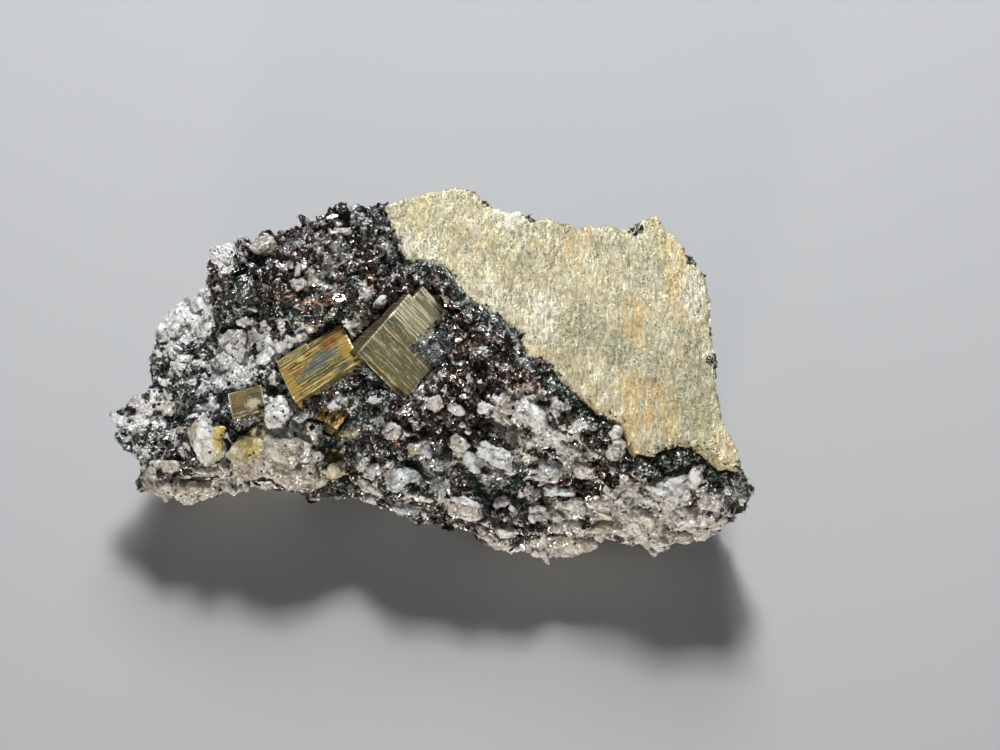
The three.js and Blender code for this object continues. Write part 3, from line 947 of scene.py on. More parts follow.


# The pale pink to white top of this ramp is painted glints; below it, the mica's own black, brown and bronze.
BIOTITE = FlakeFinish(
    "bronze_black_mica",
    stops(
        (0.0, 14, 12, 14), (0.42, 38, 33, 33), (0.54, 84, 71, 66), (0.63, 140, 116, 104),
        (0.71, 206, 188, 182), (0.8, 246, 242, 242), (1.0, 254, 253, 254),
    ),
    metal_from=0.48,
    roughness=0.15,
)
# The pale grey-green to white top of this ramp is painted glints; below it, the chlorite's own dark green.
CHLORITE = FlakeFinish(
    "dark_green_chlorite",
    stops(
        (0.0, 8, 12, 11), (0.46, 26, 35, 31), (0.64, 74, 88, 78), (0.78, 160, 174, 164), (0.9, 230, 236, 232),
    ),
    metal_from=0.6,
    metal=0.5,
    roughness=0.18,
)
MUSCOVITE = FlakeFinish(
    "silver_mica",
    stops((0.0, 34, 38, 40), (0.4, 92, 99, 102), (0.6, 170, 178, 182), (0.8, 236, 240, 244)),
    metal_from=0.4,
    metal=0.7,
    roughness=0.16,
)
SUGAR = FlakeFinish(
    "white_feldspar_sugar",
    stops((0.0, 176, 174, 168), (0.25, 224, 222, 219), (0.6, 245, 244, 242), (1.0, 253, 253, 252)),
    roughness=0.26,
    soaked=True,
)
CRUMBS = FlakeFinish(
    "dark_crumbs", stops((0.0, 14, 16, 14), (0.6, 44, 50, 42), (0.85, 112, 112, 92), (1.0, 232, 232, 226))
)
QUARTZ_IOR = 1.544  # quartz's own index of refraction


@dataclass(frozen=True)
class QuartzFinish:
    """Greasy quartz, clear in part, with cloudy veils, dark specks and stains, painted glints, and painted
    shade in its clefts and hollows.
    """

    name: str
    clear: Colour
    cloudy: Colour
    clarity: float
    painted_glints: Colour = tint(252, 252, 250)
    specks: Colour = tint(44, 42, 36)
    relief_depth: float = 0.18  # millimetres

    def material(self) -> bpy.types.Material:
        """Builds the finish.

        Returns:
            The material.
        """
        shader = Shader(self.name)
        veils = shader.noise(1.0, 4)
        cloud = veils * 0.6 + shader.attribute("tone") * 0.4 + shader.flecks(0.35) * 0.3 - 0.15
        colour = shader.mixed(cloud.step(0.3, 0.75), self.clear, self.cloudy)
        colour = shader.mixed(shader.attribute("stain"), colour, OCHRE)
        # Painted glints: small white flecks in the colour, kept off the stains.
        painted_glints = shader.flecks(0.24).step(0.86, 0.9) * (1 - shader.attribute("stain"))
        colour = shader.mixed(painted_glints * 0.7, colour, self.painted_glints)
        specks = shader.flecks(0.4).step(0.95, 0.97) * shader.noise(1.4).step(0.45, 0.6)
        colour = shader.mixed(specks, colour, self.specks)
        # Painted shade in the clefts and hollows.
        colour = shader.shaded(colour, 1 - 0.6 * shader.attribute("cavity"))
        relief = shader.facets(0.36) * 0.9 + shader.facets(1.1) * 1.8 + shader.noise(0.3, 3)
        return shader.dress(
            Base_Color=colour,
            Roughness=0.04 + 0.24 * veils,
            IOR=QUARTZ_IOR,
            Transmission_Weight=self.clarity,
            Normal=shader.bump(relief, self.relief_depth),
            Coat_Weight=0.6,
            Coat_Roughness=0.08,
            **SOAKED,
        )


@dataclass(frozen=True)
class PlateFinish:
    """Pale gold pyrite with drawn-out growth scales, warm, grey-green and pale in patches, and painted glints
    on its brightest scales.
    """

    name: str
    cream: tuple[Colour, Colour] = (tint(148, 146, 118), tint(216, 213, 188))
    gold: Colour = tint(200, 160, 90)
    yellow: Colour = tint(208, 190, 124)
    grey: Colour = tint(132, 140, 116)
    dark: Colour = tint(72, 78, 62)
    white: Colour = tint(236, 236, 228)
    relief_depth: float = 0.018  # millimetres

    def material(self) -> bpy.types.Material:
        """Builds the finish.

        Returns:
            The material.
        """
        shader = Shader(self.name)
        drawn = (1, 0.3, 1)
        tone = shader.attribute("tone")
        grain, streak = shader.noise(0.3, 3, drawn), shader.noise(0.6, 3, (1, 0.14, 1))
        colour = shader.mixed((tone * 0.5 + grain * 1.1 - 0.3).step(0.2, 0.85), *self.cream)
        warm = (shader.attribute("warm") * 0.64 + 0.36) * (streak * 0.7 + grain * 0.5).step(0.46, 0.7)
        cool = shader.attribute("cool") * 0.8 + 0.2
        cool = cool * (shader.noise(0.7, 3) * 0.6 + grain * 0.4).step(0.42, 0.6)
        colour = shader.mixed(warm * 0.7, colour, self.gold)
        yellow = shader.noise(2.6, 3, (1, 0.3, 1)).step(0.5, 0.66) * grain.step(0.3, 0.7)
        colour = shader.mixed(yellow * 0.5, colour, self.yellow)
        colour = shader.mixed(cool * 0.68, colour, self.grey)
        colour = shader.mixed(shader.attribute("pale") * grain.step(0.4, 0.6) * 0.5, colour, self.white)
        speck = (shader.flecks(0.2) + shader.noise(1.6, 3, drawn) * 0.4 + cool * 0.12).step(1.06, 1.2)
        colour = shader.mixed(speck * 0.75, colour, self.dark)
        # Painted glints: the brightest scales are turned white.
        colour = shader.mixed(tone.step(0.86, 0.9), colour, self.white)
        return shader.dress(
            Base_Color=colour,
            Metallic=0.15 + 0.25 * shader.noise(1.2),
            Roughness=0.3 + 0.3 * grain,
            Normal=shader.bump(grain + shader.facets(0.26) * 0.7, self.relief_depth),
        )


WARM_SPOTS = (
    Spot((22, 18.8), (2.6, 3.4), strength=0.6), Spot((37, 17), (2.2, 3.4), strength=0.8),
    Spot((36.3, 12.4), (1.6, 3.4)), Spot((30.5, 6.4), (1.6, 4.4)),
    Spot((37.6, 4.2), (1.6, 4.4), strength=0.8), Spot((31.3, -7), (2.8, 5), strength=0.9),
    Spot((35.4, -7.8), (1.6, 5), strength=0.8), Spot((29.6, -11.5), (2.6, 3)),
    Spot((43, -12.5), (2, 3.4), strength=0.5), Spot((17.2, 0), (2.6, 2), strength=0.6),
    Spot((6.3, 20.5), (4, 3), strength=0.3),
)
COOL_SPOTS = (
    Spot((22.8, 5.5), (3.2, 3.8)), Spot((28.3, 1.5), (2.8, 3)), Spot((37.9, 1), (2.4, 4.6)),
    Spot((31.8, 14.1), (3, 3.8)), Spot((13.2, 16.9), (3.2, 3), strength=0.7),
    Spot((15.7, 21.6), (4.4, 2.8)), Spot((20.5, 21.3), (3, 1.8)), Spot((27.1, 18.8), (2.8, 3)),
    Spot((38.6, -7), (3, 5)), Spot((33.2, -1.3), (3, 3)), Spot((41.4, -6), (1.6, 7)),
)
PALE_SPOTS = (
    Spot((16.6, 6.2), (2.8, 4.6)), Spot((39.4, 10.4), (1.8, 4.4)), Spot((12.6, 22.8), (3.6, 1.6)),
    Spot((9, 9.5), (3, 2.4), strength=0.6), Spot((-2.6, 17.8), (4, 3), strength=0.5),
)


def plate_marks(points: np.ndarray) -> dict[str, np.ndarray]:
    """How warm, cool and pale the plate is at each point."""
    groups = {"warm": WARM_SPOTS, "cool": COOL_SPOTS, "pale": PALE_SPOTS}
    return {key: np.max([spot.share(points) for spot in spots], axis=0) for key, spots in groups.items()}


@dataclass(frozen=True)
class Tarnish:
    """A tinted patch on a crystal's face.

    Its middle and reach are shares of the face, along and across. Broken says how far small spots break it
    up, and where one patch has a number above 0 and another below it, their spots stand beside each other.
    """

    tone: Colour
    middle: Pair
    reach: Pair
    strength: float = 1
    broken: float = 1.8


@dataclass(frozen=True)
class PyriteFinish:
    """Brassy pyrite with fine growth lines and tarnish, with painted glints, painted highlights on its lines
    and top edges, and painted shade on its flanks.
    """

    name: str
    dark: Colour
    bright: Colour
    # the tint of the flanks, darker than the face: painted shade
    side: Colour
    bands: tuple[Colour, ...]
    tarnish: tuple[Tarnish, ...] = ()
    line_contrast: float = 0.5
    ridge_highlight: float = 0.3
    sparkle: float = 0.2
    metal: float = 0.5
    roughness: float = 0.28
    glint: Colour = tint(244, 238, 214)
    edge_highlight: Colour = tint(250, 240, 204)
    relief_depth: float = 0.02  # millimetres

    def material(self, size: Triple) -> bpy.types.Material:
        """Builds the finish.

        Args:
            size: the crystal's length, width and depth in millimetres.

        Returns:
            The material.
        """
        shader = Shader(self.name)
        along, across = shader.attribute("along"), shader.attribute("across")
        lines, edge = shader.attribute("lines"), shader.attribute("edge")
        ruled = shader.node("ShaderNodeCombineXYZ", {}, {0: along * 0.1, 1: across, 2: 0.0}).outputs[0]
        band, hair = shader.noise_over(ruled, 1.1), shader.noise_over(ruled, 3.8, 3)
        grain = shader.noise(0.32, 3)
        line = lines * self.line_contrast + hair + grain * 0.4 - self.line_contrast * 0.5
        colour = shader.mixed(line.step(0.6, 0.82), self.dark, self.bright)
        for i, shade in enumerate(self.bands):
            low = 0.5 + 0.07 * i
            colour = shader.mixed(band.step(low, low + 0.06) * 0.6, colour, shade)
        for patch in self.tarnish:
            u = (along - patch.middle[0] * size[0]) * (1 / (patch.reach[0] * size[0]))
            v = (across - patch.middle[1] * size[1]) * (1 / (patch.reach[1] * size[1]))
            away = u * u + v * v + (hair - 0.5) * 2.6 + (grain - 0.5) * 1.6 * patch.broken
            colour = shader.mixed((1 - away.step(0.3, 1.3)) * patch.strength, colour, patch.tone)
        # Painted highlight: the ridges of the growth lines are lightened, more towards the face's upper side.
        upper = across * (1 / size[1]) + 0.6
        colour = shader.mixed(line.step(0.74, 0.86) * self.ridge_highlight * upper, colour, self.bright)
        # Painted shade: the flanks take the darker side tint, less on their line ridges.
        flank = shader.attribute("flank") * (1 - 0.45 * line.step(0.6, 0.9))
        colour = shader.mixed(flank, colour, self.side)
        # Painted glints: bright flecks along the fine lines.
        glint = (hair * 0.6 + shader.flecks(0.22) * 0.6).step(0.86, 0.92) * self.sparkle
        colour = shader.mixed(glint, colour, self.glint)
        # Painted highlight: the face's top edges are lightened.
        colour = shader.mixed(edge * 0.9, colour, self.edge_highlight)
        return shader.dress(
            Base_Color=colour,
            Metallic=self.metal,
            Roughness=self.roughness + 0.3 * (hair - 0.5) + 0.12 * grain,
            Normal=shader.bump(hair + shader.noise(0.3, 3) * 0.6, self.relief_depth),
        )


@dataclass
class Seats:
    """Places on a surface with its outward direction at each."""

    points: np.ndarray
    normals: np.ndarray

    def kept(self, keep: np.ndarray) -> "Seats":
        """Only the seats that are marked."""
        return Seats(self.points[keep], self.normals[keep])

    def plus(self, more: "Seats") -> "Seats":
        """These seats and more."""
        return Seats(np.concatenate([self.points, more.points]), np.concatenate([self.normals, more.normals]))


LINE_COUNT = 400  # more than any face shows
RULED_FROM = 30  # millimetres before the middle of a face, well outside it


@dataclass(frozen=True)
class Striae:
    """Growth lines ruled along a face: narrow steps of random height that fade along their length."""

    seed: int
    widths: Pair

    def at(self, across: np.ndarray, along: np.ndarray) -> np.ndarray:
        """The steps' height at each place, from -1 to 1.

        Args:
            across: how far across the lines each place is.
            along: how far along them.

        Returns:
            The height at each place.
        """
        rng = np.random.default_rng(self.seed)
        edges = np.cumsum(rng.uniform(*self.widths, LINE_COUNT)) - RULED_FROM
        band = np.searchsorted(edges, across)
        levels = rng.uniform(-1, 1, LINE_COUNT + 2)
        spot = np.stack([along * 0.35, band * 3.1, np.zeros(len(along))], axis=1)
        return levels[band] * (0.55 + 0.45 * Noise(self.seed, 1.0).at(spot))


@dataclass(frozen=True)
class Step:
    """A ledge beside a face or a notch in it.

    Its middle and sides are shares of the face, and its level is in millimetres above the face.
    """

    middle: Pair
    sides: Pair
    level: float


LEDGE_DEPTH = 0.6  # of the crystal's depth
SHOWN_DEPTH = 3.6  # millimetres of a crystal's sides that can stand clear of the rock
LINE_HEIGHT = 0.05  # millimetres, of the growth lines


class Side(Enum):
    """A side of a crystal, with the way out of it in the crystal's own directions."""

    FACE = (0, 0, 1)
    FRONT = (0, -1, 0.3)
    RIGHT = (1, 0, 0.3)
    LEFT = (-1, 0, 0.3)


@dataclass(frozen=True)
class Overgrowth:
    """Mica that grows over part of one side of a crystal.

    Low and high are the far corners of the box that it fills: shares of the crystal's length and width, and a
    level in millimetres above its face.
    """

    low: Triple
    high: Triple
    side: Side
    minerals: dict[Mineral, float]

    def amount(self, likes: dict[Mineral, float]) -> float:
        """How thickly something that likes some minerals lies on it."""
        return sum(share * likes.get(mineral, 0) for mineral, share in self.minerals.items())


@dataclass(frozen=True)
class Crystal:
    """A pyrite cube or brick.

    Size is its length, width and depth, and place the middle of its showing face. Facing is the way that this
    face looks, and along the way that it is ruled. Rough is how pitted it is, in millimetres, and grid the
    length and width of its mesh.
    """

    name: str
    node: str
    slot: str
    size: Triple
    place: Triple
    facing: Triple
    along: Triple
    finish: PyriteFinish
    ledges: tuple[Step, ...] = ()
    notches: tuple[Step, ...] = ()
    overgrown: tuple[Overgrowth, ...] = ()
    rough: float = 0.0
    grid: Pair = (0.25, 0.1)
    seed: int = 1

    def axes(self) -> np.ndarray:
        """The directions of its length, width and depth, one to a row.

        Returns:
            Three directions of length 1.
        """
        z = unit(np.array(self.facing, float))
        x = np.array(self.along, float)
        x = unit(x - (x @ z) * z)
        return np.stack([x, np.cross(z, x), z])

    def corners(self) -> np.ndarray:
        """The eight corners of its block."""
        shares = CUBE_CORNERS - np.array([0.5, 0.5, 1.0])
        return shares * self.size @ self.axes() + self.place

    def inside(self, points: np.ndarray, margin: float) -> np.ndarray:
        """Which points are inside its block, widened by a margin.

        Args:
            points: places in plan millimetres.
            margin: how much wider, in millimetres.

        Returns:
            True for each place inside.
        """
        local = (points - self.place) @ self.axes().T
        half = np.array(self.size[:2]) / 2 + margin
        level = local[:, 2]
        return (np.abs(local[:, :2]) < half).all(axis=1) & (level > -self.size[2]) & (level < margin)

    def overgrown_seats(self, likes: dict[Mineral, float], density: float, rng: np.random.Generator) -> Seats:
        """Seats for what grows over the crystal.

        Args:
            likes: how thickly it lies on each mineral.
            density: how many to a square millimetre where it lies fully.
            rng: the source of chance.

        Returns:
            The seats.
        """
        points, ways = [np.empty((0, 3))], [np.empty((0, 3))]
        for part in self.overgrown:
            low, high = np.array([part.low, part.high]) * (*self.size[:2], 1)
            long, wide, deep = high - low
            area = long * wide if part.side is Side.FACE else max(long, wide) * deep
            count = round(density * area * part.amount(likes))
            spots = rng.uniform(low, high, (count, 3))
            points.append(spots @ self.axes() + self.place)
            ways.append(np.tile(unit(np.array(part.side.value, float)) @ self.axes(), (count, 1)))
        return Seats(np.concatenate(points), np.concatenate(ways))

    def block(self, middle: Pair, sides: Pair, low: float, high: float) -> Soup:
        """A ruled block of the crystal.

        Args:
            middle: the middle of its top, in millimetres on the face.
            sides: its length and width in millimetres.
            low: the level of its foot, against the face.
            high: the level of its top.

        Returns:
            Its surface in the crystal's own axes, with the numbers that the finish reads.
        """
        spans = [(m - s / 2, m + s / 2) for m, s in zip(middle, sides)] + [(low, high)]
        ticks = [np.linspace(a, b, round((b - a) / p) + 1) for (a, b), p in zip(spans, self.grid)]
        shown = max(low + 0.5, high - SHOWN_DEPTH)
        fine = np.linspace(shown, high, max(3, round((high - shown) / (self.grid[1] * 1.6))))
        ticks.append(np.concatenate([np.linspace(low, shown, 6)[:-1], fine]))
        lattice, faces = box_lattice(tuple(len(t) - 1 for t in ticks))
        along, across, depth = (t[lattice[:, i]] for i, t in enumerate(ticks))
        last = [len(t) - 1 for t in ticks]
        on_top = lattice[:, 2] == last[2]
        lines = self.ruling(across, along)
        smooth = np.stack([along, across, depth], axis=1)
        worn = self.rough * Noise(self.seed + 5, 1.3).layered(smooth, 4)
        (left, right), (front, back), _ = spans
        gap = np.min([along - left, right - along, across - front, back - across], axis=0)
        chip = 0.07 + 0.1 * Noise(self.seed + 9, 0.8).at(smooth)
        drop = self.notch_depth(along, across, high) + np.maximum(chip, 0) * rising(-gap, -0.14, -0.02)
        share = (depth - low) / (high - low)
        level = depth + share * (LINE_HEIGHT * lines + worn - drop)
        flank_lines = Striae(self.seed + 3, (0.12, 0.5)).at(depth, along + across)
        out = LINE_HEIGHT * flank_lines + 0.6 * worn
        points = np.stack([along, across, level], axis=1)
        for axis in (0, 1):
            points[:, axis] -= out * (lattice[:, axis] == 0)
            points[:, axis] += out * (lattice[:, axis] == last[axis])
        edge = rising(-gap, -0.16, -0.06) * rising(depth - high, -0.2, -0.05)
        values = {
            "along": along,
            "across": across,
            "lines": 0.5 + 0.5 * np.where(on_top, lines, flank_lines),
            "edge": edge * (0.5 + 0.5 * Noise(self.seed, 2.0).at(points)),
            "flank": (~on_top).astype(float),
        }
        return Soup(points, faces, values)

    def ruling(self, across: np.ndarray, along: np.ndarray) -> np.ndarray:
        """The height of the face's growth lines, from about -1 to 1.

        Args:
            across: how far across the lines each place is.
            along: how far along them.

        Returns:
            The height at each place.
        """
        coarse = Striae(self.seed, (0.5, 1.6)).at(across, along)
        fine = Striae(self.seed + 1, (0.14, 0.34)).at(across, along)
        return 0.3 * coarse + 0.8 * fine

    def notch_depth(self, along: np.ndarray, across: np.ndarray, high: float) -> np.ndarray:
        """How far the notches take the face down at each place.

        Args:
            along: how far along the face each place is, in millimetres from its middle.
            across: how far across it.
            high: the level of the face.

        Returns:
            A depth for each place, in millimetres.
        """
        drop = np.zeros(len(along))
        for notch in self.notches:
            u = np.abs(along - notch.middle[0] * self.size[0]) < notch.sides[0] * self.size[0] / 2
            v = np.abs(across - notch.middle[1] * self.size[1]) < notch.sides[1] * self.size[1] / 2
            drop = np.maximum(drop, np.where(u & v, high - notch.level, 0))
        return drop

    def shape(self) -> Soup:
        """The crystal's surface in plan millimetres.

        Returns:
            Its surface, with the values that its finish needs.
        """
        long, wide, deep = self.size
        blocks = [self.block((0, 0), (long, wide), -deep, 0)]
        for ledge in self.ledges:
            middle = (ledge.middle[0] * long, ledge.middle[1] * wide)
            sides = (ledge.sides[0] * long, ledge.sides[1] * wide)
            blocks.append(self.block(middle, sides, -LEDGE_DEPTH * deep, ledge.level))
        whole = Soup.joined(blocks)
        whole.points = whole.points @ self.axes() + self.place
        return whole

    def build(self, plan: Plan) -> list[bpy.types.Object]:
        """Makes the crystal's one piece, in place of its solid.

        Args:
            plan: where the plan lies.

        Returns:
            A list of the one piece.
        """
        piece = self.shape().build(self.name, plan, self.finish.material(self.size))
        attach(piece, "root")
        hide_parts(self.node)
        return [piece]


def box_lattice(cells: tuple[int, int, int]) -> tuple[np.ndarray, np.ndarray]:
    """The surface of a box as a grid.

    Args:
        cells: how many cells it has along each side.

    Returns:
        The whole-number places of the surface points, and triangles that face outward.
    """
    counts = np.array(cells) + 1
    ids = np.arange(counts.prod()).reshape(counts)
    quads = []
    for axis in range(3):
        for end in (0, cells[axis]):
            sheet = ids.take(end, axis=axis)
            quad = np.stack([sheet[:-1, :-1], sheet[1:, :-1], sheet[1:, 1:], sheet[:-1, 1:]], axis=-1)
            quad = quad.reshape(-1, 4)
            quads.append(quad[:, ::-1] if (end == 0) != (axis == 1) else quad)
    quads = np.concatenate(quads)
    used, faces = np.unique(quads, return_inverse=True)
    faces = faces.reshape(quads.shape)
    lattice = np.stack(np.unravel_index(used, counts), axis=1)
    return lattice, np.concatenate([faces[:, [0, 1, 2]], faces[:, [0, 2, 3]]])


OLIVE_GOLD = PyriteFinish(
    "olive_gold_pyrite",
    dark=tint(88, 86, 52),
    bright=tint(254, 249, 218),
    side=tint(84, 72, 46),
    bands=(tint(112, 118, 92),),
    tarnish=(
        Tarnish(tint(92, 104, 92), (-0.36, -0.1), (0.22, 0.3), 0.7),
        Tarnish(tint(90, 92, 56), (0.3, -0.3), (0.34, 0.26), 0.6),
        Tarnish(tint(196, 166, 98), (0.1, -0.2), (0.5, 0.36), 0.7, 5),
        Tarnish(tint(80, 92, 58), (0.1, -0.18), (0.6, 0.36), 0.75, -5),
        Tarnish(tint(160, 168, 150), (0.0, -0.1), (0.5, 0.5), 0.25, -9),
        Tarnish(tint(228, 220, 176), (-0.1, 0.42), (0.5, 0.22), 0.5),
    ),
    line_contrast=0.7,
    ridge_highlight=0.75,
    sparkle=0.5,
    roughness=0.36,
)
IRIDESCENT_GOLD = PyriteFinish(
    "iridescent_gold_pyrite",
    dark=tint(84, 70, 30),
    bright=tint(222, 194, 114),
    side=tint(96, 84, 42),
    bands=(tint(104, 116, 92), tint(92, 112, 116)),
    tarnish=(
        Tarnish(tint(182, 100, 58), (0.26, 0.22), (0.12, 0.22), 0.6, 3),
        Tarnish(tint(168, 110, 62), (-0.26, 0.0), (0.16, 0.16), 0.5),
        Tarnish(tint(98, 116, 116), (0.1, 0.0), (0.34, 0.14), 0.75),
        Tarnish(tint(94, 114, 108), (-0.12, -0.16), (0.3, 0.1), 0.75),
        Tarnish(tint(112, 122, 78), (0.3, -0.22), (0.2, 0.14), 0.6),
        Tarnish(tint(214, 172, 78), (0.43, -0.1), (0.1, 0.5), 0.6),
        Tarnish(tint(200, 164, 76), (-0.45, -0.1), (0.08, 0.5), 0.6),
        Tarnish(tint(236, 214, 138), (-0.18, 0.3), (0.06, 0.08), 0.9),
    ),
    line_contrast=0.5,
    sparkle=0.4,
    roughness=0.32,
)
OLIVE = PyriteFinish(
    "olive_pyrite",
    dark=tint(56, 48, 22),
    bright=tint(104, 90, 46),
    side=tint(72, 64, 30),
    bands=(tint(88, 86, 50),),
    tarnish=(
        Tarnish(tint(122, 94, 38), (-0.24, 0.24), (0.26, 0.3), 0.6),
        Tarnish(tint(176, 170, 138), (0.16, -0.14), (0.22, 0.2), 0.8),
    ),
    line_contrast=0.3,
    sparkle=0.3,
    metal=0.2,
    roughness=0.6,
)
WEATHERED = PyriteFinish(
    "weathered_brown_pyrite",
    dark=tint(40, 34, 18),
    bright=tint(186, 154, 80),
    side=tint(66, 54, 26),
    bands=(tint(132, 104, 48),),
    line_contrast=0.2,
    sparkle=0.5,
    roughness=0.42,
)

CRYSTALS = (
    Crystal(
        "large_pyrite_cube", "pyrite_large_cube", "olive_pyrite",
        (10.3, 12, 10), (-3.3, 1.8, 29.8), (0.42, -0.42, 0.8), (0.66, -0.47, -0.59), OLIVE_GOLD,
        ledges=(Step((-0.12, 0.58), (0.56, 0.26), -0.7),),
        notches=(Step((0.1, -0.48), (0.8, 0.08), -0.5),),
        overgrown=(
            Overgrowth(
                (0.14, 0.08, 0), (0.54, 0.54, 2.2), Side.FACE,
                {Mineral.MUSCOVITE: 0.9, Mineral.BIOTITE: 0.15},
            ),
            Overgrowth(
                (0.02, 0.02, -0.1), (0.5, 0.5, 0.2), Side.FACE,
                {Mineral.MUSCOVITE: 0.16, Mineral.CHLORITE: 0.1},
            ),
            Overgrowth(
                (0.08, 0.5, -0.7), (0.2, 0.68, 0.4), Side.FACE,
                {Mineral.BIOTITE: 0.9, Mineral.MUSCOVITE: 0.2},
            ),
            Overgrowth(
                (-0.3, -0.56, -4), (0.5, -0.5, -0.5), Side.FRONT,
                {Mineral.CHLORITE: 0.7, Mineral.MUSCOVITE: 0.1},
            ),
            Overgrowth(
                (0.5, -0.5, -4), (0.56, 0.2, -0.3), Side.RIGHT,
                {Mineral.BIOTITE: 0.7, Mineral.MUSCOVITE: 0.4},
            ),
        ),
        seed=40,
    ),
    Crystal(
        "tarnished_pyrite_brick", "pyrite_brick", "tarnished_pyrite",
        (11.5, 8.5, 8), (-16.7, 0.5, 27.6), (-0.4, 0.19, 0.9), (0.85, 0.46, 0.28), IRIDESCENT_GOLD,
        ledges=(Step((-0.25, 0.44), (0.46, 0.18), 0.3),),
        notches=(Step((0, -0.47), (1.1, 0.12), -0.4),),
        overgrown=(
            Overgrowth(
                (-0.46, -0.56, -4.6), (0.5, -0.5, -1.5), Side.FRONT,
                {Mineral.CHLORITE: 0.6, Mineral.BIOTITE: 0.2},
            ),
        ),
        seed=60,
    ),
    Crystal(
        "small_pyrite_cube", "pyrite_small_cube", "tarnished_pyrite",
        (5.2, 4.4, 5), (-27.3, -4.4, 24), (-0.15, 0.05, 1), (0.95, 0.23, 0.15), OLIVE,
        notches=(Step((0.42, -0.42), (0.3, 0.3), -0.8),),
        overgrown=(
            Overgrowth(
                (-0.5, -0.58, -4), (0.5, -0.5, -0.4), Side.FRONT,
                {Mineral.CHLORITE: 0.8, Mineral.FELDSPAR: 0.5},
            ),
            Overgrowth((-0.58, -0.5, -4), (-0.5, 0.5, -0.3), Side.LEFT, {Mineral.CHLORITE: 0.9}),
            Overgrowth(
                (0.5, -0.5, -4), (0.58, 0.5, -0.3), Side.RIGHT,
                {Mineral.FELDSPAR: 1, Mineral.CHLORITE: 0.3},
            ),
        ),
        rough=0.04,
        seed=80,
    ),
    Crystal(
        "weathered_pyrite_cube", "pyrite_weathered_cube", "weathered_pyrite",
        (4.2, 3.8, 4.5), (-14.2, -6.2, 24.4), (0.3, -0.1, 0.9), (0.5, 0.85, 0), WEATHERED,
        notches=(Step((-0.4, 0.4), (0.5, 0.5), -0.8), Step((0.45, -0.4), (0.25, 0.3), -0.5)),
        rough=0.22,
        grid=(0.12, 0.12),
        seed=95,
    ),
)
SMALL_CUBE = CRYSTALS[2]


@dataclass
class Surface:
    """A surface to set small things on."""

    soup: Soup
    sides: np.ndarray = field(init=False)
    middles: np.ndarray = field(init=False)

    def __post_init__(self) -> None:
        """Works out the faces' directions and middles."""
        self.sides = self.soup.face_normals()
        self.middles = self.soup.points[self.soup.faces].mean(axis=1)

    def seats(self, count: int, weight: np.ndarray, rng: np.random.Generator) -> Seats:
        """Picks places at random.

        Args:
            count: how many.
            weight: how thickly each face is set, against its area.
            rng: the source of chance.

        Returns:
            The seats.
        """
        odds = np.linalg.norm(self.sides, axis=1) * np.maximum(weight, 0)
        picked = rng.choice(len(odds), count, p=odds / odds.sum())
        a, b = np.sort(rng.random((2, count)), axis=0)
        shares = np.stack([a, b - a, 1 - b], axis=1)
        corners = self.soup.points[self.soup.faces[picked]]
        return Seats((corners * shares[:, :, None]).sum(axis=1), unit(self.sides[picked]))


def lens_forms(sides: int, rng: np.random.Generator, count: int = 8) -> list[Soup]:
    """Thin flakes with flat facets: corners round a rim, and a low point above and below.

    Args:
        sides: the corners of the rim.
        rng: the source of chance.
        count: how many different flakes.

    Returns:
        Flakes of radius about 1 and half thickness 1.
    """
    forms = []
    ring = np.arange(sides)
    for _ in range(count):
        angle = (ring + rng.uniform(-0.3, 0.3, sides)) * 2 * math.pi / sides
        reach = rng.uniform(0.7, 1.15, sides)
        rim = np.stack([reach * np.cos(angle), reach * np.sin(angle), rng.uniform(-0.3, 0.3, sides)], axis=1)
        peaks = np.concatenate([rng.uniform(-0.3, 0.3, (2, 2)), [[1], [-1]]], axis=1)
        after = (ring + 1) % sides
        top = np.stack([ring, after, np.full(sides, sides)], axis=1)
        bottom = np.stack([after, ring, np.full(sides, sides + 1)], axis=1)
        forms.append(Soup(np.concatenate([rim, peaks]), np.concatenate([top, bottom])))
    return forms


def hull_form(corners: int, rng: np.random.Generator, square: float = 0.75) -> Soup:
    """A broken grain: the hull of random points on a rounded block.

    Args:
        corners: how many points.
        rng: the source of chance.
        square: 1 for a ball, less for a blockier form.

    Returns:
        A grain of radius about 1.
    """
    spots = unit(rng.normal(size=(corners, 3)))
    spots = np.sign(spots) * np.abs(spots) ** square * rng.uniform(0.85, 1.1, (corners, 1))
    form = bmesh.new()
    for spot in spots:
        form.verts.new(spot)
    made = bmesh.ops.convex_hull(form, input=form.verts)
    spare = {*made["geom_interior"], *made["geom_unused"]}
    spots = [item for item in spare if isinstance(item, bmesh.types.BMVert)]
    bmesh.ops.delete(form, geom=spots, context="VERTS")
    bmesh.ops.triangulate(form, faces=form.faces)
    bmesh.ops.recalc_face_normals(form, faces=form.faces)
    form.verts.index_update()
    points = np.array([vert.co[:] for vert in form.verts])
    faces = np.array([[vert.index for vert in face.verts] for face in form.faces])
    form.free()
    return Soup(points, faces)


def book_forms(rng: np.random.Generator, count: int = 8) -> list[Soup]:
    """Short books of mica: three cleaved six-sided sheets, each slid a little over the one below.

    Args:
        rng: the source of chance.
        count: how many different books.

    Returns:
        Books of radius about 1 and half thickness 1.
    """
    ring = np.arange(6)
    after = (ring + 1) % 6
    fan = np.array([(0, i, i + 1) for i in range(1, 5)])
    walls = [np.stack([ring, after, after + 6], axis=1), np.stack([ring, after + 6, ring + 6], axis=1)]
    faces = np.concatenate([fan[:, ::-1], fan + 6, *walls])
    forms = []
    for _ in range(count):
        sheets = []
        for low in (-1.0, -0.3, 0.4):
            angle = (ring + rng.uniform(-0.15, 0.15, 6)) * math.pi / 3
            reach = rng.uniform(0.65, 1.05, 6)
            rim = np.stack([reach * np.cos(angle), reach * np.sin(angle)], axis=1)
            rim = rim + rng.uniform(-0.25, 0.25, 2)
            tilt = rim @ rng.uniform(-0.25, 0.25, 2)
            levels = [np.column_stack([rim, tilt + low]), np.column_stack([rim, tilt + low + 0.55])]
            sheets.append(Soup(np.concatenate(levels), faces))
        forms.append(Soup.joined(sheets))
    return forms


CLUMPS = Cells(seed=83, cell=1.4)


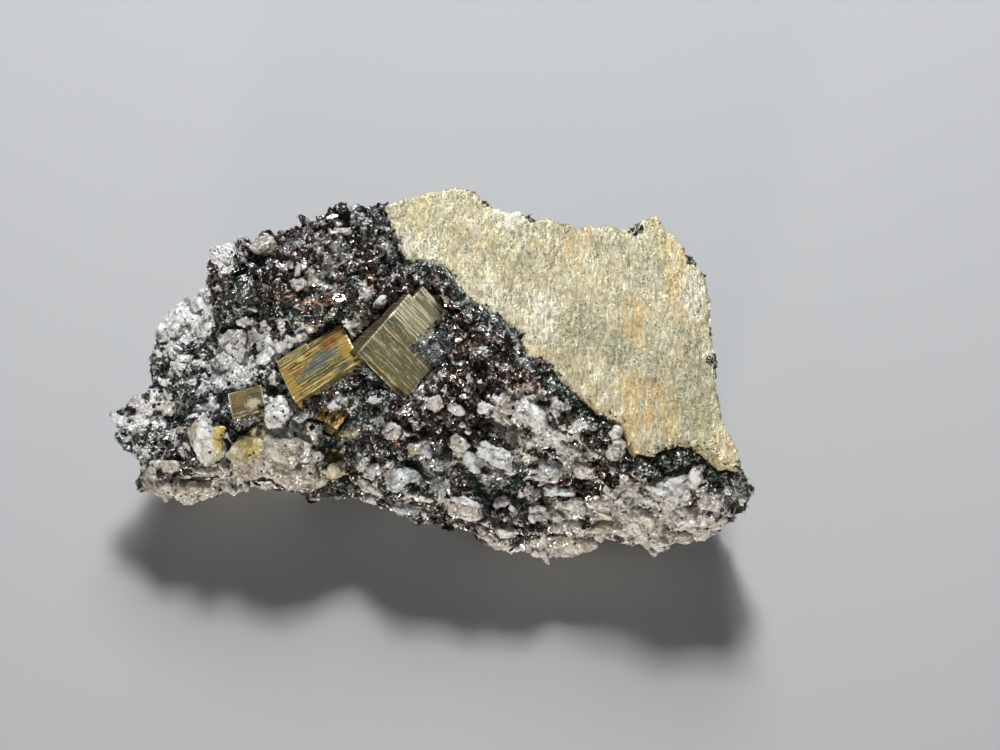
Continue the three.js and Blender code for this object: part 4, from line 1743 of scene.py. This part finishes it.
@dataclass(frozen=True)
class Scatter:
    """Many small things of one kind: their sizes, and how they lie on the surface.

    Lengths are half lengths in millimetres. Tilt is how far they lean from the surface, from 0 for flat, and
    together the share of it that neighbours have in common. Grain is the direction that their length follows.
    """

    length: Pair
    width: Pair
    thick: Pair
    tilt: float
    sunk: float = 0.0
    together: float = 0.0
    grain: Triple | None = None
    stray: float = 0.2

    def strewn(
        self, forms: list[Soup], seats: Seats, marks: dict[str, np.ndarray], rng: np.random.Generator
    ) -> Soup:
        """Sets one of the forms on each seat.

        Args:
            forms: the shapes to choose from.
            seats: where they go.
            marks: numbers for each seat that the finish reads.
            rng: the source of chance.

        Returns:
            All of them as one mesh, with a tone each that neighbours partly share.
        """
        count = len(seats.points)
        clump = CLUMPS.fit(seats.points)
        tone = np.clip(0.55 * clump.tone + 0.45 * rng.random(count), 0, 1)
        lean = self.together * 1.5 * clump.tilt + (1 - self.together) * rng.normal(size=(count, 3))
        up = unit(seats.normals + self.tilt * lean)
        ways = rng.normal(size=(count, 3))
        if self.grain:
            ways = np.array(self.grain) + self.stray * ways
        side = unit(ways - (ways * up).sum(axis=1, keepdims=True) * up)
        axes = np.stack([side, np.cross(up, side), up], axis=1)
        low, high = np.array([self.length, self.width, self.thick]).T
        sizes = low + (high - low) * rng.random((count, 3)) ** 1.5
        middles = seats.points - self.sunk * sizes[:, 2:] * seats.normals
        marks = marks | {"tone": tone}
        chosen = rng.integers(len(forms), size=count)
        parts = []
        for i, form in enumerate(forms):
            mine = np.flatnonzero(chosen == i)
            local = form.points[None] * sizes[mine, None]
            points = np.einsum("npi,nij->npj", local, axes[mine]) + middles[mine, None]
            starts = np.arange(len(mine))[:, None, None] * len(form.points)
            faces = (form.faces[None] + starts).reshape(-1, 3)
            values = {key: np.repeat(numbers[mine], len(form.points)) for key, numbers in marks.items()}
            parts.append(Soup(points.reshape(-1, 3), faces, values))
        return Soup.joined(parts)


class GrainKind(Enum):
    """The kinds of large quartz grain."""

    SMOKY = "smoky"
    MILKY = "milky"
    STAINED = "stained"
    PINKISH = "pinkish"
    BLUISH = "bluish"


SEAT_MARGIN = 0.8  # millimetres of rock around a grain that set its tilt


@dataclass(frozen=True)
class Grain:
    """A large quartz grain that stands half out of the rock.

    It has a place near the rock's surface, a length and width in millimetres, and the turn of its length in
    degrees as seen from above.
    """

    kind: GrainKind
    place: Triple
    size: Pair
    turn: float
    height: float = 0.8  # against its width

    def seated(self, skin: Soup, normals: np.ndarray) -> "SeatedGrain":
        """Sets the grain on the nearest stretch of the rock's skin.

        Args:
            skin: the rock's smooth skin.
            normals: the skin's outward directions.

        Returns:
            The grain in its place.
        """
        away = np.linalg.norm(skin.points - self.place, axis=1)
        spot = skin.points[np.argmin(away)]
        around = np.linalg.norm(skin.points - spot, axis=1) < self.size[1] / 2 + SEAT_MARGIN
        up = unit(normals[around].mean(axis=0))
        middle = skin.points[around].mean(axis=0)
        angle = math.radians(self.turn)
        way = np.array([math.cos(angle), math.sin(angle), 0])
        long = unit(way - (way @ up) * up)
        half = np.array([*self.size, self.height * self.size[1]]) / 2
        return SeatedGrain(self.kind, middle, np.stack([long, np.cross(up, long), up]), half)


@dataclass(frozen=True)
class SeatedGrain:
    """A grain in its place: its middle, its length's, width's and height's directions, and half its sides."""

    kind: GrainKind
    middle: np.ndarray
    axes: np.ndarray
    half: np.ndarray

    def shape(self, rng: np.random.Generator) -> Soup:
        """The grain as a coarse hull."""
        form = hull_form(20, rng, 0.6)
        return Soup(form.points * self.half @ self.axes + self.middle, form.faces)

    def away(self, points: np.ndarray) -> np.ndarray:
        """How far points are from its middle, with 1 at its surface."""
        return np.linalg.norm((points - self.middle) @ self.axes.T / self.half, axis=1)


# A row for each grain: its place, length, width and turn, and its height against its width where that isn't
# the usual.
GRAIN_ROWS = {
    GrainKind.SMOKY: (
        (-24.3, -11.5, 20, 12.3, 7.5, 5), (-19.8, -12.8, 17.7, 7.5, 5.7, -30),
        (-27.8, -12.7, 16.9, 6, 3.6, 10), (-16.7, -13.8, 16, 3.9, 3, 0),
        (-41.2, -12.6, 12.7, 7.2, 4.8, -10), (-39.9, -11.5, 16.9, 8.4, 2.1, 3),
        (-35.6, -12.8, 10.9, 6, 2.4, 0), (-33.7, -12.6, 16.9, 5.4, 2.4, -15),
        (-25.5, 18.6, 30.9, 4.5, 3.6, 30), (-1.7, -11.9, 23.1, 3, 2.55, 0),
        (20.7, -22.5, 11.4, 9.3, 3.6, 0), (25.6, -20, 12.5, 6, 2.7, 20), (31.4, -19.8, 15.9, 7.5, 3.9, 0),
        (37.6, -20.8, 11.6, 5.1, 3, 10),
    ),
    GrainKind.MILKY: (
        (-19.3, -12, 20.1, 6.9, 2.8, 80), (-28.8, -11.8, 17, 3.3, 2.4, 30),
        (-22.7, -6.3, 23.9, 5.4, 4.2, 60), (-24.7, -4.7, 24.5, 3.9, 2.25, 80),
        (-48.1, -4.1, 17.5, 2.1, 1.5, 10), (-46.5, -4.4, 17.1, 3, 2.25, 0),
        (-28, -1, 23.9, 3.9, 2.1, 70, 0.5), (-24.8, 2.6, 24.9, 3.3, 3, 30, 0.5),
        (-31.9, 2.6, 22.7, 4.2, 3, 20, 0.5), (-19.3, 5, 26.8, 2.7, 1.65, 35, 0.5),
        (-21, 3.9, 26, 2.1, 3, 60, 0.5), (-38.4, 9.1, 22.6, 4.5, 3.6, 50, 0.5),
        (-36, 12.6, 22.5, 3.9, 3.3, 40, 0.5), (-39.2, 4.8, 22.1, 3.3, 2.4, 30, 0.5),
        (-34.2, 8.3, 23.2, 3.3, 2.7, 0, 0.5), (-40.3, 1, 20, 3.3, 1.8, -30, 0.5),
        (-30.8, 16.9, 28.4, 3.3, 2.7, 0), (-8, 8.6, 31.2, 3, 2.7, 20),
        (-27.1, 7.9, 26.7, 5.1, 1.8, 10, 0.5), (-18.1, 13.9, 33.9, 1.35, 1.2, 0),
        (9.8, -12.9, 23.7, 6.9, 3.3, -35), (15.1, -7.7, 26.7, 6.6, 3.9, -20),
        (17.6, -10.2, 25.4, 6, 3, -25), (20.7, -12.1, 24.1, 5.4, 2.1, -15),
        (-8.4, -12.8, 17.8, 3.6, 3.3, 40), (11.7, -20.9, 13.9, 3.9, 2.4, 0),
        (28.1, -17.9, 18.9, 2.55, 2.25, 0), (35.5, -17.9, 22.3, 7.5, 4.2, 12),
        (38.5, -16.2, 23.3, 5.1, 3, 25), (34.3, -21.7, 10.6, 3.9, 2.7, 0), (31.2, -18.9, 20.6, 6, 2.4, 5),
        (21.7, -18, 16.5, 4.5, 2.1, 10), (-16.4, -5.3, 25.2, 4.2, 1.1, 32, 2),
    ),
    GrainKind.STAINED: (
        (-34.1, -9.9, 22, 7.6, 5.2, -62, 1.1), (-31.4, -9.9, 21.9, 6.6, 2.5, -75, 1.1),
        (-28, -10, 19.9, 3.9, 3.3, 20), (-14.2, -12.6, 17, 4.4, 2.8, 10),
    ),
    GrainKind.PINKISH: (
        (-29.8, 5.6, 24.1, 6, 3.9, 10, 0.5), (-13.4, 19.3, 33.1, 4.8, 1.5, 8),
        (-16.3, 16, 34.3, 1.5, 1.35, 0), (-19.9, 11.8, 31.1, 3.6, 2.4, 20), (1, -6, 26.6, 3, 2.4, 20),
        (5.1, -18.8, 16.9, 7.5, 3.45, -18), (4.2, -10.3, 21.6, 3.6, 2.85, -30),
        (14.1, -16, 17.6, 3.9, 1.8, 60), (23.2, -14.9, 22, 3.9, 3, -15), (-5.4, -9.1, 23.6, 3.6, 3, 0),
        (-9.6, -14.9, 15.7, 7.2, 1.8, -20), (8.9, -7.7, 27.3, 4.5, 2.1, -60),
        (27.3, -13.5, 26.2, 3.6, 3.3, 0), (27.7, -10.9, 27.9, 3, 2.7, 0), (38.8, -19.9, 17.2, 6.9, 4.5, 20),
        (41.9, -19, 20.8, 4.5, 3.3, 30), (47.2, -17.1, 16.2, 2.1, 1.8, 0), (16.5, -19.1, 15.4, 3.9, 2.7, 0),
        (10.5, -18, 16.6, 3, 2.1, 30),
    ),
    GrainKind.BLUISH: (
        (3.5, -6.4, 25.5, 3.75, 2.1, -50), (-3.8, -15.2, 19.8, 5.7, 3.75, 22),
        (-2.9, -18, 14.7, 6, 2.85, -33), (6.2, -12.6, 20.6, 4.2, 2.7, -35),
        (17.9, -13.9, 20.6, 4.5, 3.3, -10), (-0.5, -11.6, 22.7, 2.1, 3, 60),
        (19.5, -15.9, 17.4, 6, 2.1, 10), (12.3, -13.9, 20.2, 2.7, 1.8, -40),
        (-18.6, -6.6, 24.6, 4.2, 1.3, 30, 2),
    ),
}
GRAINS = tuple(Grain(kind, row[:3], row[3:5], *row[5:]) for kind, rows in GRAIN_ROWS.items() for row in rows)
GRAIN_LOOKS = {  # the finish of each kind, and how rough its surface is
    GrainKind.SMOKY: (QuartzFinish("smoky_quartz", tint(172, 160, 141), tint(238, 233, 222), 0.24), 0.5),
    GrainKind.MILKY: (QuartzFinish("milky_quartz", tint(214, 216, 214), tint(252, 252, 250), 0.08), 0.9),
    GrainKind.STAINED: (QuartzFinish("stained_quartz", tint(222, 221, 212), tint(250, 249, 244), 0.08), 0.4),
    GrainKind.PINKISH: (QuartzFinish("pinkish_quartz", tint(180, 171, 165), tint(243, 239, 236), 0.12), 0.8),
    GrainKind.BLUISH: (QuartzFinish("bluish_quartz", tint(168, 178, 182), tint(242, 246, 248), 0.1), 0.6),
}
SMALL_GRAINS = QuartzFinish("small_grey_grains", tint(184, 182, 176), tint(250, 249, 246), 0.1)


@dataclass(frozen=True)
class Growth:
    """One kind of flake or grain that covers the rock, and how thickly it lies on each mineral."""

    name: str
    material: bpy.types.Material
    forms: list[Soup]
    count: int
    scatter: Scatter
    likes: dict[Mineral, float]
    density: float = 0  # how many to a square millimetre where it grows over a crystal
    gap: float = 0.95  # how far from the large grains it stays, with 1 at their surface


@dataclass
class Rock:
    """The schist: its skin, its large quartz grains and the flakes and grains that cover it.

    Its sizes are in millimetres. A moat is the low ring in the rock around a large grain, darkened by painted
    shade as far as moat_shade says, and the low spot a place on the back rim that is lower than the rock's
    own grain would make it.
    """

    voxel: float = 0.52
    grain_voxel: float = 0.33
    bare_margin: float = 0.05
    smooth_margin: float = 0.9
    moat_depth: float = 0.3
    moat_shade: float = 0.85
    low_spot: Triple = (-19.3, 21.5, 32.5)
    low_depth: float = 0.8
    underside: float = 1.0
    seed: int = 7
    skin: Surface = field(init=False)
    shares: Shares = field(init=False)
    seated: list[SeatedGrain] = field(init=False)

    def build(self, plan: Plan) -> list[bpy.types.Object]:
        """Makes all the rock's pieces.

        Args:
            plan: where the plan lies.

        Returns:
            The pieces.
        """
        rng = np.random.default_rng(self.seed)
        ground = self.ground(plan)
        grains = [self.grains(kind, plan) for kind in GrainKind]
        return [ground, *grains, *(self.strewn(growth, rng, plan) for growth in self.growths(rng))]

    def ground(self, plan: Plan) -> bpy.types.Object:
        """Makes the rock's broken skin in place of its solid.

        Args:
            plan: where the plan lies.

        Returns:
            The piece.
        """
        skin = Soup.of_object(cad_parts["schist_matrix"], plan).remeshed(self.voxel, plan)
        broken = broken_surface(skin.points)
        normals = skin.normals()
        self.seated = [grain.seated(skin, normals) for grain in GRAINS]
        moat = 1 - rising(np.min([grain.away(skin.points) for grain in self.seated], axis=0), 1.1, 1.5)
        moat = moat * (1 - 0.65 * (broken.shares[Mineral.FELDSPAR] + broken.shares[Mineral.QUARTZ]))
        near = np.any([crystal.inside(skin.points, self.smooth_margin) for crystal in CRYSTALS], axis=0)
        relief = np.where(near, np.minimum(broken.relief, 0.1) * 0.5, broken.relief)
        low = rising(-np.linalg.norm(skin.points - self.low_spot, axis=1), -3.6, -1.6)
        relief = relief * (1 - 0.7 * low) - self.low_depth * low
        held = rising(skin.points[:, 2], 0.3, 2.5)
        skin.values = {mineral.value: share for mineral, share in broken.shares.items()}
        # Painted shade: this value darkens clefts, hollows and the moats, and fades out near the resting
        # face.
        skin.values["cavity"] = np.maximum(broken.cavity, self.moat_shade * moat) * held
        skin.values |= {"stain": stained(skin.points), "warm": coppery(skin.points)}
        skin.points = skin.points + ((relief - self.moat_depth * moat) * held)[:, None] * normals
        self.skin = Surface(skin)
        self.shares = {key: share[skin.faces].mean(axis=1) for key, share in broken.shares.items()}
        piece = self.settled(skin.build("schist_rock", plan, RockFinish().material(), True))
        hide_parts("schist_matrix")
        return piece

    def grains(self, kind: GrainKind, plan: Plan) -> bpy.types.Object:
        """Makes the large quartz grains of one kind, fused where they meet.

        Args:
            kind: the kind.
            plan: where the plan lies.

        Returns:
            The piece.
        """
        rng = np.random.default_rng(300 + len(kind.value))
        coarse = Soup.joined(grain.shape(rng) for grain in self.seated if grain.kind is kind)
        skin = coarse.remeshed(self.grain_voxel, plan)
        broad, fine = Cells(51, 1.5).fit(drawn_in(skin.points)), Cells(57, 0.7).fit(skin.points)
        relief = 0.4 * broad.hackly() + 0.22 * fine.hackly() - 0.25 * broad.cleft()
        # Painted shade: the grains' colour is darkened in the clefts between their facets.
        skin.values = {"tone": broad.tone, "cavity": 0.7 * broad.cleft(0.16), "stain": stained(skin.points)}
        finish, roughness = GRAIN_LOOKS[kind]
        skin.points = skin.points + roughness * relief[:, None] * skin.normals()
        return self.settled(skin.build(f"{kind.value}_quartz_grains", plan, finish.material(), True))

    def growths(self, rng: np.random.Generator) -> tuple[Growth, ...]:
        """The kinds of flakes and small grains that cover the skin.

        Args:
            rng: where the forms' random numbers come from.

        Returns:
            The kinds.
        """
        chunks = [hull_form(9, rng) for _ in range(8)]
        blocks = [hull_form(16, rng, 0.6) for _ in range(10)]
        return (
            Growth(
                "small_quartz_grains", SMALL_GRAINS.material(), blocks, 420,
                Scatter((0.7, 1.7), (0.45, 0.9), (0.4, 0.8), 0.3, sunk=0.3, grain=tuple(RUN)),
                {Mineral.QUARTZ: 0.5, Mineral.FELDSPAR: 0.35, Mineral.BIOTITE: 0.08, Mineral.CHLORITE: 0.12},
            ),
            Growth(
                "biotite_flakes", BIOTITE.material(), lens_forms(6, rng), 5200,
                Scatter((0.3, 1.0), (0.25, 0.8), (0.04, 0.14), 0.42, together=0.7),
                {Mineral.BIOTITE: 1, Mineral.MUSCOVITE: 0.1, Mineral.CHLORITE: 0.05}, density=4,
            ),
            Growth(
                "biotite_books", BIOTITE.material(), book_forms(rng), 1150,
                Scatter((0.4, 1.1), (0.35, 0.9), (0.15, 0.4), 0.42, together=0.5),
                {Mineral.BIOTITE: 1}, density=1.2,
            ),
            Growth(
                "chlorite_needles", CHLORITE.material(), lens_forms(3, rng), 22000,
                Scatter((0.35, 1.2), (0.06, 0.17), (0.03, 0.08), 0.6, together=0.6),
                {Mineral.CHLORITE: 1, Mineral.BIOTITE: 0.14, Mineral.MUSCOVITE: 0.35, Mineral.FELDSPAR: 0.24,
                 Mineral.QUARTZ: 0.05},
                density=14,
            ),
            Growth(
                "muscovite_flakes", MUSCOVITE.material(), lens_forms(4, rng), 7600,
                Scatter((0.18, 0.6), (0.12, 0.4), (0.02, 0.05), 0.6, together=0.5),
                {Mineral.MUSCOVITE: 1, Mineral.CHLORITE: 0.35, Mineral.BIOTITE: 0.2, Mineral.FELDSPAR: 0.1,
                 Mineral.QUARTZ: 0.08},
                density=30,
            ),
            Growth(
                "feldspar_grains", SUGAR.material(), chunks, 5600,
                Scatter((0.18, 0.55), (0.16, 0.42), (0.14, 0.36), 0.8, sunk=0.5),
                {Mineral.FELDSPAR: 1, Mineral.QUARTZ: 0.3, Mineral.MUSCOVITE: 0.2, Mineral.CHLORITE: 0.06},
                density=6, gap=1.25,
            ),
        )

    def strewn(self, growth: Growth, rng: np.random.Generator, plan: Plan) -> bpy.types.Object:
        """Makes one kind of flake or grain, clear of the crystals and the large grains.

        Args:
            growth: the kind.
            rng: where its random numbers come from.
            plan: where the plan lies.

        Returns:
            The piece.
        """
        weight = sum(amount * self.shares[mineral] for mineral, amount in growth.likes.items())
        below = self.skin.middles[:, 2] < self.underside
        seats = self.skin.seats(growth.count, np.where(below, 0.1, 1) * weight, rng)
        covered = [crystal.inside(seats.points, self.bare_margin) for crystal in CRYSTALS]
        covered += [grain.away(seats.points) <= growth.gap for grain in self.seated]
        seats = seats.kept(~np.any(covered, axis=0))
        for crystal in CRYSTALS:
            seats = seats.plus(crystal.overgrown_seats(growth.likes, growth.density, rng))
        marks = {"stain": stained(seats.points), "cavity": np.zeros(len(seats.points))}
        marks["warm"] = growth.likes.get(Mineral.BIOTITE, 0) * coppery(seats.points)
        soup = growth.scatter.strewn(growth.forms, seats, marks, rng)
        return self.settled(soup.build(growth.name, plan, growth.material))

    def settled(self, piece: bpy.types.Object) -> bpy.types.Object:
        """Ties a piece to the body.

        Args:
            piece: the piece.

        Returns:
            The same piece.
        """
        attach(piece, "root")
        return piece


# Lumps of dark rock that hang on the plate's broken edge.
EDGE_LUMPS = (
    (42.2, 0, 28.5), (42.4, -1.4, 27.6), (30.8, 20.9, 31), (9, 25.4, 31.4), (10.6, 25.2, 31),
    (39.4, 16, 31),
)


@dataclass
class BroadPlate:
    """The broad pyrite plate: a broken body under many drawn-out growth scales."""

    voxel: float = 0.4
    scale_count: int = 21000
    scale_seed: int = 17
    crumb_count: int = 1150
    crumb_seed: int = 19
    rim_share: float = 0.7  # how thickly crumbs lie where the plate meets the rock
    lump_share: float = 9  # and on the lumps

    def build(self, plan: Plan) -> list[bpy.types.Object]:
        """Makes the plate's pieces.

        Args:
            plan: where the plan lies.

        Returns:
            The pieces.
        """
        skin = Soup.of_object(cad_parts["pyrite_broad_plate"], plan).remeshed(self.voxel, plan)
        normals = skin.normals()
        streaks = Noise(41, 0.5).layered(skin.points * (1, 0.16, 1))
        steps = Cells(43, 3.2).fit(skin.points * (1, 0.3, 1)).hackly()
        upward = rising(normals[:, 2], 0.5, 0.9)
        coarse, fine = Cells(47, 1.6).fit(skin.points).hackly(), Cells(48, 0.8).fit(skin.points).hackly()
        broken = 0.3 * coarse + 0.15 * fine
        relief = upward * (0.08 * streaks + 0.07 * steps) + (1 - upward) * broken
        skin.points = skin.points + relief[:, None] * normals
        tone = 0.5 + 0.3 * Noise(49, 0.5).at(skin.points * (1, 0.25, 1))
        skin.values = plate_marks(skin.points) | {"tone": tone}
        body = self.settled(skin.build("pyrite_plate_body", plan, PlateFinish("pale_gold_plate").material()))
        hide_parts("pyrite_broad_plate")
        surface = Surface(skin)
        return [body, self.scales(surface, plan), self.crumbs(surface, plan)]

    def scales(self, surface: Surface, plan: Plan) -> bpy.types.Object:
        """Makes the growth scales of the plate's upper face.

        Args:
            surface: the plate's surface.
            plan: where the plan lies.

        Returns:
            The piece.
        """
        rng = np.random.default_rng(self.scale_seed)
        seats = surface.seats(self.scale_count, rising(unit(surface.sides)[:, 2], 0.5, 0.85), rng)
        scatter = Scatter((0.25, 0.85), (0.05, 0.14), (0.015, 0.035), 0.08, grain=(0, 1, 0.1), stray=0.12)
        soup = scatter.strewn(lens_forms(3, rng), seats, plate_marks(seats.points), rng)
        material = PlateFinish("pale_gold_scales").material()
        return self.settled(soup.build("pyrite_plate_scales", plan, material))

    def crumbs(self, surface: Surface, plan: Plan) -> bpy.types.Object:
        """Makes the dark crumbs of rock that cling to the plate's broken edge.

        Args:
            surface: the plate's surface.
            plan: where the plan lies.

        Returns:
            The piece.
        """
        rng = np.random.default_rng(self.crumb_seed)
        up = unit(surface.sides)[:, 2]
        held = rising(Noise(91, 5.0).at(surface.middles), 0.0, 0.5) * rising(-np.abs(up), -0.6, -0.2)
        rim = distance_to_line(surface.middles[:, :2], np.array(PLATE_OUTLINE))
        rim = rising(-rim - 0.5 * EDGE.layered(surface.middles), -1.1, -0.5)
        lumps = np.min([np.linalg.norm(surface.middles - place, axis=1) for place in EDGE_LUMPS], axis=0)
        weight = held + self.rim_share * rim + self.lump_share * rising(-lumps, -1.3, -1)
        seats = surface.seats(self.crumb_count, weight, rng)
        scatter = Scatter((0.15, 0.6), (0.12, 0.4), (0.08, 0.3), 0.7, sunk=0.1)
        marks = {"stain": np.zeros(len(seats.points))}
        soup = scatter.strewn([hull_form(8, rng) for _ in range(6)], seats, marks, rng)
        return self.settled(soup.build("plate_edge_crumbs", plan, CRUMBS.material()))

    def settled(self, piece: bpy.types.Object) -> bpy.types.Object:
        """Ties a piece to the body.

        Args:
            piece: the piece.

        Returns:
            The same piece.
        """
        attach(piece, "root")
        return piece


@dataclass(frozen=True)
class Lamp:
    """A square studio light that points at the specimen: place and side in metres, and power in watts."""

    name: str
    place: Triple
    side: float
    power: float
    colour: Triple = (1, 1, 1)

    def build(self, target: Vector) -> None:
        """Hangs the lamp.

        Args:
            target: the point that it shines on, in metres.
        """
        light = bpy.data.lights.new(self.name, "AREA")
        light.size = self.side
        light.energy = self.power
        light.color = self.colour
        lamp = bpy.data.objects.new(self.name, light)
        lamp.location = self.place
        lamp.rotation_euler = (target - lamp.location).to_track_quat("-Z", "Y").to_euler()
        bpy.context.scene.collection.objects.link(lamp)


@dataclass
class Studio:
    """A pale floor, soft light and the camera.

    The camera looks at the target, in plan millimetres, from a distance in metres and an elevation in
    degrees.
    """

    floor_side: float = 3.0
    target: Triple = (10.5, 0, 24)
    distance: float = 0.4
    elevation: float = 64
    lens: float = 96
    room: Colour = (0.93, 0.96, 1.0, 1)
    room_light: float = 0.035
    lamps: tuple[Lamp, ...] = (
        Lamp("window", (0.0, 0.40, 0.57), 0.12, 4.1),
        Lamp("second_window", (0.03, 0.51, 0.48), 0.25, 2.3),
        Lamp("ceiling", (-0.05, 0.05, 0.85), 0.4, 0.06),
        Lamp("front_fill", (-0.22, -1.3, 0.07), 0.14, 16.5, (1, 0.93, 0.84)),
        Lamp("glint_0", (0.0, -0.2, 0.42), 0.03, 0.05),
    )
    glint_places: tuple[Triple, ...] = (
        (0.24, -0.08, 0.40), (-0.24, -0.08, 0.40), (0.15, 0.2, 0.42), (-0.15, 0.22, 0.42),
        (0.12, -0.34, 0.32), (-0.14, -0.32, 0.32),
    )

    def build(self, plan: Plan) -> None:
        """Sets up everything around the specimen.

        Args:
            plan: where the plan lies.
        """
        self.floor()
        aim = Vector(plan.metres(np.array(self.target)))
        glints = (Lamp(f"glint_{i}", place, 0.02, 0.02) for i, place in enumerate(self.glint_places, 1))
        for lamp in (*self.lamps, *glints):
            lamp.build(Vector((0, 0, 0.02)))
        angle = math.radians(self.elevation)
        camera = bpy.data.objects.new("camera", bpy.data.cameras.new("camera"))
        camera.data.lens = self.lens
        camera.data.clip_start = 0.01
        camera.location = aim + self.distance * Vector((0, -math.cos(angle), math.sin(angle)))
        camera.rotation_euler = (aim - camera.location).to_track_quat("-Z", "Y").to_euler()
        bpy.context.scene.collection.objects.link(camera)
        bpy.context.scene.camera = camera
        self.sky()

    def floor(self) -> None:
        """Lays the floor."""
        half = self.floor_side / 2
        mesh = bpy.data.meshes.new("floor")
        corners = [(-half, -half, 0), (half, -half, 0), (half, half, 0), (-half, half, 0)]
        mesh.from_pydata(corners, [], [(0, 1, 2, 3)])
        shader = Shader("pale_floor")
        cloud = shader.noise(60, 2) - 0.5
        colour = shader.mixed(0.5 + cloud * 0.3, tint(174, 176, 179), tint(182, 184, 186))
        mesh.materials.append(shader.dress(Base_Color=colour, Roughness=0.8, Specular_IOR_Level=0.15))
        floor = bpy.data.objects.new("floor", mesh)
        bpy.context.scene.collection.objects.link(floor)

    def sky(self) -> None:
        """Fills the room with even light."""
        world = bpy.data.worlds.new("room")
        world.use_nodes = True
        back = world.node_tree.nodes["Background"]
        back.inputs["Color"].default_value = self.room
        back.inputs["Strength"].default_value = self.room_light
        scene = bpy.context.scene
        scene.world = world
        scene.view_settings.view_transform = "Standard"


def plan_from_frame() -> Plan:
    """Finds where the plan lies, from the small cube's solid and its corners in the plan."""
    low = np.array(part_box(SMALL_CUBE.node)[0]) / MM
    return Plan(low - SMALL_CUBE.corners().min(axis=0))


def main() -> None:
    """Builds the studio and the specimen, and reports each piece."""
    logging.basicConfig(level=logging.INFO, format="%(message)s")
    plan = plan_from_frame()
    log.info("plan shift %s mm", plan.shift.round(3))
    Studio().build(plan)
    for part in (Rock(), BroadPlate(), *CRYSTALS):
        for piece in part.build(plan):
            log.info("%s: %d triangles", piece.name, len(piece.data.polygons))


if __name__ == "__main__":
    main()
